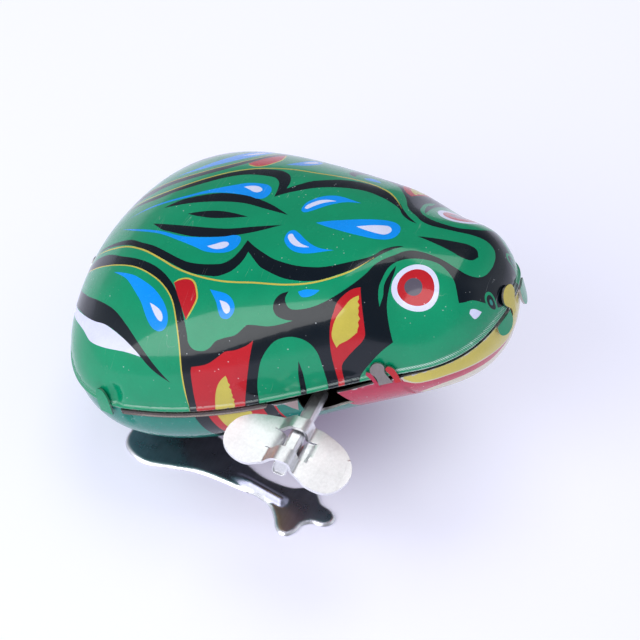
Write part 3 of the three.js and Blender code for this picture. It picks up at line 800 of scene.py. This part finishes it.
def enamel(name, colour):
    """Lithographed tin: ink under clear varnish, with mottling, fine scratches, small chips, pale
    lines on the crests of the rolled rim that are painted highlight and worn ink at once, and bare
    metal at the very edge of the sheet."""
    material, sh, principled = new_material(name)
    colour = srgb(colour)
    cloud = sh.noise(0.13, 4, 0.6)
    mottle = sh.ramp(cloud, 0.3, 0.7, 0.94, 1.06)
    grain = sh.ramp(sh.noise(7, 2, 0.6), 0.3, 0.7, -0.05, 0.05)
    ink = sh.vector("SCALE", colour[:3], {"Scale": sh.maths("ADD", mottle, grain)})
    line = sh.scratches((0.3, 0.2, 0.9), 3, 0.02)
    line = sh.maths("MAXIMUM", line, sh.scratches((0.1, 0.5, 2.2), 11, 0))
    ink = sh.mix(sh.times(line, 0.5), ink, sh.mix(0.45, colour, SCRATCHED_INK))
    thin = sh.ramp(sh.noise(0.4), 0.3, 0.65, 0.65, 1)
    # Pale lines on the crests of the rolled rim: painted highlight and worn ink.
    ink = sh.mix(sh.times(sh.attribute("highlight_and_wear_crest"), thin), ink, HIGHLIGHT_AND_BARE_INK)
    speck = sh.add("TexVoronoi", {"Vector": sh.place(shift=(5, 5, 5)), "Scale": 0.9})
    speck = sh.times(sh.ramp(speck, 0.05, 0.1, 1, 0), sh.ramp(cloud, 0.5, 0.6))
    ink = sh.mix(sh.times(speck, 0.7), ink, CHIP)
    ragged = sh.ramp(sh.noise(0.9, 5, 0.7), 0.3, 0.7, -0.35, 0.45)
    worn = sh.ramp(sh.maths("ADD", sh.attribute("rim"), ragged), 0, 0.12, 1, 0)
    dull = sh.ramp(sh.noise(0.35, 5, 0.65), 0.35, 0.75, 0.2, 0.3)
    waves = sh.bump(sh.noise(0.22, 2, 0.4), 0.35, 0.12)
    peel = sh.bump(sh.noise(2.2), 0.25, 0.01, waves)
    sh.feed(principled, {
        "Base Color": sh.mix(worn, ink, WORN_TIN),
        "Metallic": sh.times(worn, 0.9),
        "Roughness": sh.maths("ADD", dull, sh.times(line, 0.2)),
        "Normal": sh.bump(line, 0.4, 0.01, peel),
        "Coat Weight": 0.55, "Coat Roughness": 0.07, "Coat Normal": waves,
        "Specular IOR Level": 0.15,
    })
    return material


def metal(name, colour, roughness, brushed=(1, 0.05, 0.3), tarnish=0.25,
          tarnish_colour=(0.16, 0.13, 0.11, 1), metallic=1):
    """Bare metal: rolling marks, scratches, dull spots, a little tarnish, and a painted highlight
    on the crests that a piece marks.
    """
    material, sh, principled = new_material(name)
    rolled = sh.noise(3, 3, 0.6, stretch=brushed)
    cloud = sh.noise(0.25, 5, 0.65)
    spots = sh.ramp(sh.noise(1.1, 4, 0.7, shift=(7, 3, 1)), 0.6, 0.75)
    line = sh.scratches((0.2, 0.3, 0.4), 5, 0.08)
    line = sh.maths("MAXIMUM", line, sh.scratches((0.7, 0.1, 1.7), 17, 0.06))
    grain = sh.ramp(rolled, 0.3, 0.7, -0.05, 0.05)
    tone = sh.maths("ADD", sh.ramp(cloud, 0.3, 0.7, 0.9, 1.06), grain)
    base = sh.vector("SCALE", srgb(colour)[:3], {"Scale": tone})
    base = sh.mix(sh.times(spots, tarnish), base, tarnish_colour)
    dull = sh.ramp(cloud, 0.3, 0.7, roughness, roughness + 0.1)
    marks = sh.bump(rolled, 0.15, 0.01, sh.bump(sh.noise(0.3), 0.4, 0.1))
    sh.feed(principled, {
        # Painted highlight where a piece marks its crests.
        "Base Color": sh.mix(sh.attribute("highlight_and_wear_crest"), base, PAINTED_HIGHLIGHT_METAL),
        "Metallic": metallic,
        "Roughness": sh.maths("ADD", dull, sh.times(line, 0.15)),
        "Normal": sh.bump(line, 0.5, 0.01, marks, invert=True),
    })
    return material


COLOURS = {
    "green": (4, 144, 100),
    "black": (2, 15, 26),
    "red": (188, 24, 36),
    "yellow": (200, 184, 78),
    "blue": (0, 146, 244),
    "white": (220, 222, 248),
    "teal": (40, 140, 130),
    "pupil": (88, 82, 96),
    "cream": (206, 196, 168),
    "putty": (172, 150, 148),
    # The belly's ground is the back's green made darker and bluer: painted shade of the underside.
    "shaded_belly_green": (8, 122, 106),
    "rose": (182, 40, 72),
}
INKS = {name: enamel(f"ink_{name}", colour) for name, colour in COLOURS.items()}
bright_tin = metal("bright_tin", (236, 236, 238), 0.36, (0.8, 0.6, 1), 0.1)
leg_steel = metal("leg_tin", (160, 161, 182), 0.26, tarnish=0.4, metallic=0.92)
strip_tin = metal("strip_tin", (104, 96, 94), 0.22, tarnish=0.5)
tab_tin = metal("tab_tin", (142, 136, 132), 0.3, tarnish=0.4)
inner_tin = metal("inner_tin", (176, 170, 150), 0.34, tarnish=0.4)
plate_tin = metal("plate_tin", (186, 182, 178), 0.28)
machined_steel = metal("machined_steel", (150, 152, 156), 0.26, (0.2, 3, 0.2))
blued_steel = metal("blued_steel", (78, 84, 98), 0.24, (3, 0.1, 3))
cut_brass = metal(
    "cut_brass", (206, 168, 84), 0.26, tarnish=0.45, tarnish_colour=(0.12, 0.07, 0.02, 1)
)

# -------- shells


def along_seam(half, step):
    """Values of p spaced evenly along the seam."""
    p = np.linspace(0.03, SPINE_LENGTH - 0.03, 4000)
    walked = running_length(np.stack([p, half.reach(p)], 1))
    return np.interp(np.linspace(0, walked[-1], round(walked[-1] / step)), walked, p)


def edge_of(half, p):
    return half.reach(p) - (back_short(p) if half is back else belly_short(p))


def sheet_edge(half):
    """The half's edge as a closed outline in its chart: both stop a little short of the seam."""
    p = along_seam(half, 0.4)
    reach = np.maximum(edge_of(half, p), 0.02)
    return np.vstack([np.stack([p, reach], 1), np.stack([p, -reach], 1)[::-1]])


def rows_by_seam(half, distances):
    """Chart points in rows along both edges, so that the rolled rim has its shape."""
    p = along_seam(half, 0.45)
    rows = []
    for d in distances:
        s = edge_of(half, p) - d
        rows += [np.stack([p[s > 0], side * s[s > 0]], 1) for side in (1, -1)]
    return np.vstack(rows)


def ridge(distance, at, width):
    return np.clip(1 - np.abs(distance - at) / width, 0, 1)


def tin_half(name, half, paints, ground, spacing, rows, node, holes=()):
    """A pressed and printed half of the body."""
    shapes = [shape for _, shape in paints]
    extra = rows_by_seam(half, rows)
    chart, triangles, top = triangulate(sheet_edge(half), shapes, spacing, extra, holes)
    painted = [ground, *[colour for colour, _ in paints]]
    colours = list(dict.fromkeys(painted))
    numbers = np.array([colours.index(c) for c in painted])
    points, normals = half.at(chart)
    vertices, faces, index, loops = thicken(
        points, normals, triangles, -TIN, 0, numbers[top], len(colours), len(colours) + 1
    )
    materials = [*[INKS[c] for c in colours], inner_tin, plate_tin]
    shell = make_object(name, placed(vertices), faces, materials, index, turned(loops))
    rim = np.abs(edge_of(half, chart[:, 0]) - np.abs(chart[:, 1]))
    # Pale lines along the rolled rim: painted highlight and worn ink, stronger towards the nose.
    highlight_and_wear_crest = ridge(rim, 0.22, 0.14)
    if half is back:
        highlight_and_wear_crest = np.maximum(highlight_and_wear_crest, ridge(rim, 0.82, 0.13))
    highlight_and_wear_crest *= 0.3 + 0.7 * rise(chart[:, 0], 61, 67)
    point_value(shell, "rim", [*rim, *rim])
    point_value(shell, "highlight_and_wear_crest", [*highlight_and_wear_crest, *highlight_and_wear_crest])
    settle(shell, node=node)


# Rows of points beside the edges, by their distance from it.
BACK_ROWS = [0.06, 0.14, 0.22, 0.3, 0.38, 0.52, 0.62, 0.7, 0.76, 0.82, 0.88, 0.96, 1.1, 1.3]
BELLY_ROWS = [0.45, 0.65, 0.9, 1.3, 1.8]
KEY_NOTCH = below(outline(
    [(50.7, -1), (50.9, 3), (51.8, 4.8), (53.4, 5.3), (56, 4.8), (57.9, 4.6)],
    [(57.3, 2.5), (56.6, 0.6), (56.3, -1)],
    step=0.35,
))
tin_half("painted_back", back, BACK_PAINT, "green", 1.1, BACK_ROWS, "back_shell")
# The belly's ground is a darker green, painted shade.
tin_half("painted_belly", belly, BELLY_PAINT, "shaded_belly_green", 1.2, BELLY_ROWS,
         "belly_shell", [KEY_NOTCH])

# -------- tabs and strip along the seam

TAB_SHEET = 0.35


def add_tab(name, points, normals, triangles, lift, face):
    """A closed piece of sheet at a height above a surface, with bare metal at its cut edge."""
    vertices, faces, index, loops = thicken(
        points, normals, triangles, lift, lift + TAB_SHEET, inside=1, rim=1
    )
    made = make_object(name, placed(vertices), faces, [face, plate_tin], index, turned(loops))
    point_value(made, "rim", [2] * len(vertices))
    settle(made)


def seam_tab(name, shape, face, side, lift):
    """A tab folded over the seam. Its outline holds p, and the distance past the seam."""
    past = np.stack([shape[:, 0], back.reach(shape[:, 0]) + shape[:, 1]], 1)
    chart, triangles, _ = triangulate(past, [], 0.45)
    add_tab(name, *back.at(chart * [1, side], plain=True), triangles, lift, face)


HANGING_TAB = outline(
    [(81.4, 0.2)],
    [(81.4, 1.3), (81.8, 2.4), (82.7, 3.1), (83.7, 3), (84.4, 2.1), (84.4, 0.2)],
)
CORNER_TAB = outline(
    [(63.1, 0.5), (63, -1.2), (62.5, -2.1), (62.6, -3.1), (63.4, -3.8), (64.3, -3.6),
     (64.7, -2.8), (64.5, -1.9), (65.2, 0.5)],
)
REAR_SLIVER = outline(
    [(62.6, 1), (62.3, -0.7), (61.7, -2.1), (61.9, -2.5), (62.4, -2.2), (62.9, -0.6), (63.2, 1)],
)
FRONT_SLIVER = outline(
    [(65.5, 0.8), (65.3, -0.7), (64.9, -1.6), (64.7, -2.3), (65.2, -2.7), (65.8, -2.2),
     (66.2, -0.9), (66.4, 0.8)],
)
REAR_TAB = outline(
    [(18.4, 1.4), (18.5, -1.6), (19, -3), (20, -3.2), (20.7, -2.2), (20.7, 1.4)],
)
for side_name, side, hang in (("right", 1, 1), ("left", -1, 1.3)):
    for part, shape, face, lift in (
        ("nose_tab", HANGING_TAB * [1, hang], INKS["green"], 0.65 - 0.4 * hang),
        ("corner_tab", CORNER_TAB, tab_tin, 0.4),
        ("corner_sliver_rear", REAR_SLIVER, INKS["rose"], 0.3),
        ("corner_sliver_front", FRONT_SLIVER, INKS["red"], 0.3),
        ("rear_tab", REAR_TAB, INKS["green"], 0.35),
    ):
        seam_tab(f"{part}_{side_name}", shape, face, side, lift)


def end_tab(name, end, shape, face):
    """A tab folded up over the nose or the tail: an outline in y and z against the rounded end."""
    chart, triangles, _ = triangulate(shape, [], 0.35)
    y, z = chart.T
    t = math.pi if end > 0 else 0
    wide, tall, deep = (series(terms, t) for terms in (WIDTH, BACK_HEIGHT, BELLY_DEPTH))
    fall = (y / wide) ** 2 + (z / np.where(z > 0, tall, deep)) ** 2
    points = np.stack([end * LENGTH / 2 * np.sqrt(1 - fall), y, z], 1)
    normals = np.stack([end + 0 * y, y * LENGTH / 2 / wide**2, z * LENGTH / 2 / tall**2], 1)
    add_tab(name, points, unit(normals), triangles, 0.35, face)


END_TAB = outline(
    [(-2.1, -1.7), (-2, -0.4), (-2.6, 0.5), (-3.1, 1.4), (-2.9, 2.5), (-2, 3.3), (-0.9, 3.3),
     (0, 2.7), (0.2, 1.7), (-0.3, 0.8), (-0.9, -0.3), (-1, -1.7)],
)
end_tab("nose_tab", 1, END_TAB, INKS["yellow"])
end_tab("tail_tab", -1, END_TAB, INKS["green"])

STRIP_SPAN = (22.2, 46.2)
STRIP_MIDDLE = 0.45  # how far below the seam its middle is, and how much it rises to cover the rim
STRIP_RISE = 0.5
STRIP_PROFILE = [(0.44, -0.1), (0.45, 0.3), (0.4, 0.5), (0.3, 0.52), (0.2, 0.36), (0, 0.3)]


def seam_strip(name, side):
    """The bare strip that covers the seam along the flank, with rounded ends."""
    p = np.linspace(*STRIP_SPAN, 97)
    low = belly.reach(p) - STRIP_MIDDLE
    middle, normals = belly.at(np.stack([p, side * low], 1), plain=True)
    above, _ = belly.at(np.stack([p, side * (belly.reach(p) - 0.1)], 1), plain=True)
    upward = unit(above - middle)
    middle = middle + upward * (STRIP_RISE * back_short(p) / BACK_SHORT)[:, None]
    share = np.linspace(0, 1, len(p))
    from_end = np.clip(np.minimum(share, 1 - share) * 40, 0, 1)
    full = np.sqrt(np.clip(1 - (1 - from_end) ** 2, 0.02, 1))[:, None, None]
    half_profile = smooth(STRIP_PROFILE, 0.07)
    height, out = np.vstack([half_profile, half_profile[-2::-1] * [-1, 1]]).T[:, None, :, None]
    rings = middle[:, None] + normals[:, None] * out * full + upward[:, None] * height * full
    made = tube(name, placed(rings), strip_tin, 40)
    settle(made)


def tube(name, rings, material, sharp):
    """A closed tube through rings of points that are already in the frame."""
    count, around, _ = rings.shape
    at = lambda i, j: i * around + j % around
    faces = [[at(i, j), at(i, j + 1), at(i + 1, j + 1), at(i + 1, j)]
             for i in range(count - 1) for j in range(around)]
    faces += [[at(0, j) for j in range(around)][::-1], [at(count - 1, j) for j in range(around)]]
    made = make_object(name, rings.reshape(-1, 3), faces, [material])
    face_outwards(made, sharp)
    return made


seam_strip("seam_strip_right", 1)
seam_strip("seam_strip_left", -1)

# -------- key

KEY_TILT = math.radians(7.2)  # front wing down
KEY_AXES = np.array([
    [math.cos(KEY_TILT), 0, -math.sin(KEY_TILT)],
    [0, 1, 0],
    [math.sin(KEY_TILT), 0, math.cos(KEY_TILT)],
])
plate_low, plate_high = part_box("key_plate")
KEY_MIDDLE = (plate_low.y + plate_high.y) / 2 / MM
KEY_CENTRE = joint_at["key_wind"] * [1, 0, 1] + [0, KEY_MIDDLE, 0]
HALF_SHEET = 0.25  # of the key and the legs
HINGE = 3.5  # where the lanced straps leave the flat of the wings
# The straps, from the outer edge of the key to the inner one: edges at the left hinge, beside the
# stem, over it and at the right hinge, each as (first y, second y); and over or under the stem.
STRAPS = [
    ([(-4.3, -0.85), (-3.5, -0.8), (-3.9, -0.9), (-3.6, -0.8), (-4.3, -0.85)], 1),
    ([(-0.7, 3.2), (-0.65, 3.15), (-0.65, 3.15), (-0.65, 3.15), (-0.7, 3.2)], -1),
    ([(3.35, 5.65), (3.3, 6), (3.3, 5.5), (3.3, 6.2), (3.35, 6.05)], 1),
]
STRAP_STATIONS = (-HINGE, -2.3, 0, 2, HINGE)
STRAP_ROWS = 7  # of points across a strap
OVER = [
    (-HINGE, 0), (-2.8, 0.02), (-2.35, 0.3), (-1.55, 1.35), (-1, 1.82), (-0.3, 1.95),
    (0.65, 1.95), (1.2, 1.7), (1.62, 0.9), (1.85, 0.25), (2.25, 0.02), (HINGE, 0),
]
UNDER = [
    (-HINGE, 0), (-3, -0.02), (-2.4, -0.1), (-1.85, -0.35), (-1.55, -0.9), (-1.25, -1.55),
    (-0.8, -1.75), (0.9, -1.75), (1.45, -1.55), (1.75, -0.95), (2, -0.5), (2.4, -0.32),
    (3.1, -0.25), (HINGE, 0),
]
STEM_END = -3.4
STEM_CUT = 0.45  # how much further the bottom of the stem reaches, per millimetre of its height
RIGHT_WING = [
    (HINGE, -4.3), (4.7, -4.93), (6.8, -5.15), (8.4, -4.7), (9.7, -3.2), (10.4, -1.2),
    (10.45, 0.3), (9.9, 1.95), (8.2, 4.05), (5.6, 5.4), (HINGE, 6.05),
]
LEFT_WING = [
    (-HINGE, 5.65), (-6.05, 4.9), (-7.8, 4.1), (-9.3, 2.7), (-10, 1), (-10.2, -0.6),
    (-9.8, -2.5), (-8.7, -3.95), (-6.9, -4.95), (-4.9, -5.1), (-HINGE, -4.3),
]


def in_key(points):
    return (np.asarray(points) @ KEY_AXES + KEY_CENTRE) * MM


def surface_normals(points, triangles):
    a, b, c = (points[triangles[:, k]] for k in range(3))
    face = np.cross(b - a, c - a)
    total = np.zeros_like(points)
    for k in range(3):
        np.add.at(total, triangles[:, k], face)
    return unit(total)


def weld(parts):
    """Joins meshes of points and triangles where their points coincide."""
    points = np.vstack([p for p, _ in parts])
    shift = np.cumsum([0] + [len(p) for p, _ in parts])
    triangles = np.vstack([t + k for (_, t), k in zip(parts, shift)])
    _, first, welded = np.unique(
        np.round(points, 4), axis=0, return_index=True, return_inverse=True
    )
    return points[first], welded.reshape(-1)[triangles]


def strap(edges, over):
    """A strap bent round the stem, as a grid of points."""
    path = smooth(OVER if over > 0 else UNDER, 0.22)
    first, last = (np.interp(path[:, 0], STRAP_STATIONS, [e[k] for e in edges]) for k in (0, 1))
    share = np.linspace(0, 1, STRAP_ROWS)
    y = first[:, None] * (1 - share) + last[:, None] * share
    n = STRAP_ROWS
    points = np.stack([np.repeat(path[:, 0], n), y.ravel(), np.repeat(path[:, 1], n)], 1)
    quads = [(i * n + j, (i + 1) * n + j, (i + 1) * n + j + 1, i * n + j + 1)
             for i in range(len(path) - 1) for j in range(n - 1)]
    return points, np.array([t for a, b, c, d in quads for t in ((a, b, c), (a, c, d))])


def wing(curve, side):
    """One round wing of the key, flat, from the straps outwards."""
    station = -1 if side > 0 else 0
    rows = np.concatenate([np.linspace(*edges[station], STRAP_ROWS) for edges, _ in STRAPS])
    hinge = np.stack([np.full(len(rows), HINGE * side), rows], 1)
    shape = np.vstack([smooth(curve, 0.35)[1:-1], hinge[::-1] if side > 0 else hinge])
    chart, triangles, _ = triangulate(shape, [], 0.6)
    dish = 0.15 * np.clip((np.abs(chart[:, 0]) - HINGE) / 6, 0, 1) ** 2
    return np.stack([chart[:, 0], chart[:, 1], -dish], 1), triangles


def key_plate():
    """The key's sheet: two wings and three straps, joined."""
    straps = [strap(*s) for s in STRAPS]
    points, triangles = weld([wing(RIGHT_WING, 1), wing(LEFT_WING, -1), *straps])
    normals = surface_normals(points, triangles)
    vertices, faces, *_ = thicken(points, normals, triangles, -HALF_SHEET, HALF_SHEET)
    made = make_object("key_sheet", in_key(vertices), faces, [bright_tin])
    face_outwards(made, 50)
    soften(made, 0.12, 50)
    settle(made, "winder", "key_plate")


def key_stem():
    """A strip folded into a tube, cut off at a slant."""
    inner_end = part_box("key_stem")[1].y / MM - KEY_MIDDLE
    fold = np.array([(-1.1, 0.35), (-0.6, 1.2), (0.8, 1.3), (1.3, 0.75), (1.3, -0.7),
                     (0.85, -1.2), (-0.7, -1.2), (-1.1, -0.7)])
    outer = np.vstack([smooth([a, b], 0.8)[:-1] for a, b in zip(fold, np.roll(fold, -1, 0))])
    inner = outer * 0.82
    profile = [(outer, inner_end, 0), (outer, STEM_END, STEM_CUT), (inner, STEM_END, STEM_CUT),
               (inner, STEM_END + 0.3, STEM_CUT)]
    rings = np.array([[[x, y + slant * z, z] for x, z in ring] for ring, y, slant in profile])
    made = tube("key_tube", in_key(rings), bright_tin, 25)
    soften(made, 0.12, 25)
    settle(made, "winder", "key_stem")


key_plate()
key_stem()

# -------- legs

LEG = outline(
    [(-21.6, 12.6), (-22.6, 16), (-22.9, 19.4), (-22.2, 21.2), (-20.5, 22.6), (-17.8, 23.4),
     (-13.4, 22.7), (-8.7, 21.9), (-1.3, 22.5), (2.2, 22.9), (4.6, 24), (6.3, 26), (7.2, 27.6),
     (8.2, 28.5), (9.4, 28.5), (10.3, 27.4), (10.9, 25.6), (12.2, 24.6), (14.2, 24.4),
     (15.2, 23.4), (15.2, 22.3), (14.2, 21.2), (12.2, 20.4), (11.4, 19.4), (10.5, 18.4),
     (8.6, 18.2), (6.4, 19.1), (1.5, 18.8), (-2.9, 16.9), (-8.4, 13.8), (-12, 12.4), (-13.2, 9.3)],
    [(-20.6, 9.3)],
    [(-21.6, 12.6)],
)
BEAD_MIDDLE = np.array([1.4, 21.5])
BEAD_HALF = np.array([6, 1.3])  # length and width
BEAD_AXES = rotation(math.radians(13))
RIVET_FROM_AXLE = 2
RIVET_Y = 12.6


def distance_to(points, line):
    return np.sqrt(((points[:, None] - line[None]) ** 2).sum(2)).min(1)


def leg(name, node, side):
    """A leg pressed from sheet: a bead along the ankle and the edge turned down, with a painted
    highlight along that edge.
    """
    axle_x = joint_at["leg_kick"][0] - ORIGIN[0]
    rivets = (axle_x - RIVET_FROM_AXLE, axle_x + RIVET_FROM_AXLE)
    holes = [oval((x, RIVET_Y), (0.9, 0.9), 20) for x in rivets]
    inward = sideways(LEG)
    if np.sum(inward * (LEG.mean(0) - LEG)) < 0:
        inward = -inward
    gx, gy = np.meshgrid(np.linspace(-1, 1, 34), np.linspace(-1, 1, 15))
    bead = np.stack([gx.ravel(), gy.ravel()], 1) * BEAD_HALF @ BEAD_AXES + BEAD_MIDDLE
    extra = np.vstack([*[LEG + inward * d for d in (0.12, 0.25, 0.38, 0.55, 0.8)], bead])
    chart, triangles, _ = triangulate(LEG, [], 0.7, extra, holes)
    edge_distance = distance_to(chart, LEG)
    from_edge = np.clip(edge_distance / 0.5, 0, 1)
    in_bead = (chart - BEAD_MIDDLE) @ BEAD_AXES.T / BEAD_HALF
    across = np.cos(np.clip(np.abs(in_bead[:, 1]), 0, 1) * math.pi / 2) ** 2
    ends = rise(in_bead[:, 0], -1, -0.2) * rise(in_bead[:, 0], 1, 0.8)
    height = 0.16 + 0.34 * np.sin(from_edge * math.pi / 2) + 0.95 * across * ends
    points = np.stack([chart[:, 0], chart[:, 1] * side, height], 1)
    triangles = triangles if side > 0 else triangles[:, ::-1]
    normals = surface_normals(points, triangles)
    vertices, faces, *_ = thicken(points, normals, triangles, -HALF_SHEET, 0.22)
    vertices = (vertices + [ORIGIN[0], MIDDLE_Y, 0]) * MM
    vertices[:, 2] = np.maximum(vertices[:, 2], 0)
    made = make_object(name, vertices, faces, [leg_steel])
    # A painted highlight along the turned-down edge, on the outer face only.
    highlight_and_wear_crest = np.clip(1.3 - np.abs(edge_distance - 0.2) / 0.3, 0, 1)
    point_value(made, "highlight_and_wear_crest", [*highlight_and_wear_crest, *(0 * highlight_and_wear_crest)])
    face_outwards(made, 40)
    soften(made, 0.1, 50)
    settle(made, "legs", node)


leg("right_pressed_leg", "right_leg", -1)
leg("left_pressed_leg", "left_leg", 1)

# -------- carried-over nodes

NODE_FINISH = {
    "steel": machined_steel,
    "spring_steel": blued_steel,
    "brass": cut_brass,
    "frame_tin": plate_tin,
}
for node in frame["nodes"].values():
    if not node.hide_render:
        finish = NODE_FINISH[node.data.materials[0].name.split(".")[0]]
        node.data.materials.clear()
        node.data.materials.append(finish)

# -------- floor, light and camera

FROG_MIDDLE = (0, 0, 0.02)


def from_angles(azimuth, elevation, distance=1):
    a, e = math.radians(azimuth), math.radians(elevation)
    level = distance * math.cos(e)
    return (level * math.cos(a), level * math.sin(a), distance * math.sin(e))


def area_light(name, at, size, power):
    """A square soft light, facing the middle of the frog."""
    lamp = bpy.data.lights.new(name, "AREA")
    lamp.size = size
    lamp.energy = power
    made = link(name, lamp)
    made.location = at
    made.rotation_euler = (Vector(FROG_MIDDLE) - Vector(at)).to_track_quat("-Z", "Y").to_euler()


FLOOR_HALF = 3
floor_mesh = bpy.data.meshes.new("floor")
corners = [(x * FLOOR_HALF, y * FLOOR_HALF, 0) for x, y in ((-1, -1), (1, -1), (1, 1), (-1, 1))]
floor_mesh.from_pydata(corners, [], [(0, 1, 2, 3)])
floor = link("floor", floor_mesh)
floor_material, sh, principled = new_material("floor")
# The floor glows: evenly far out, but dimmer and more purple within 32 mm of the middle, a painted
# shadow under the frog.
clear = sh.ramp(sh.vector("LENGTH", sh.place(), {}, "Value"), 2, 32)  # millimetres from the middle
sh.feed(principled, {
    "Base Color": (0.6, 0.6, 0.68, 1), "Roughness": 0.7, "Specular IOR Level": 0.2,
    "Emission Color": sh.mix(clear, (0.12, 0.08, 0.14, 1), (0.42, 0.42, 0.5, 1)),
    "Emission Strength": 1,
})
floor_mesh.materials.append(floor_material)

area_light("softbox", from_angles(-120, 40, 0.5), 0.34, 1.15)
area_light("overhead", from_angles(105, 70, 0.6), 0.32, 0.85)

# A pale sky that is dimmer behind the frog, and has a dark card, for reflections only, at the
# camera: the paint's dark parts stay dark.
world = bpy.data.worlds.new("studio")
world.use_nodes = True
backdrop = world.node_tree.nodes["Background"]
sky = Shader(world.node_tree)
direction = sky.add("TexCoord", output=0)


def facing(azimuth, elevation):
    return sky.vector("DOT_PRODUCT", direction, {1: from_angles(azimuth, elevation)}, "Value")


card = sky.ramp(facing(-67, 46), 0.5, 0.9, 0, 0.65)
glossy = sky.add("LightPath", output="Is Glossy Ray")
sky.feed(backdrop, {
    "Color": (0.86, 0.9, 1, 1),
    "Strength": sky.times(
        sky.ramp(facing(120, 42), 0.35, 0.85, 0.76, 0.2),
        sky.maths("SUBTRACT", 1, sky.times(card, glossy)),
    ),
})
bpy.context.scene.world = world
bpy.context.scene.view_settings.view_transform = "Standard"

# The camera stands where the photo was taken from.
VIEW_AZIMUTH, VIEW_ELEVATION = 22.685, 45.849
camera_data = bpy.data.cameras.new("camera")
camera_data.lens = 157.8
camera_data.clip_start = 0.01
camera_data.shift_x, camera_data.shift_y = 0.0299, -0.0582
camera = link("camera", camera_data)
look = -Vector(from_angles(VIEW_AZIMUTH - 90, VIEW_ELEVATION))
camera.location = Vector(ORIGIN * MM) - 0.45 * look
camera.rotation_euler = look.to_track_quat("-Z", "Y").to_euler()
bpy.context.scene.camera = camera
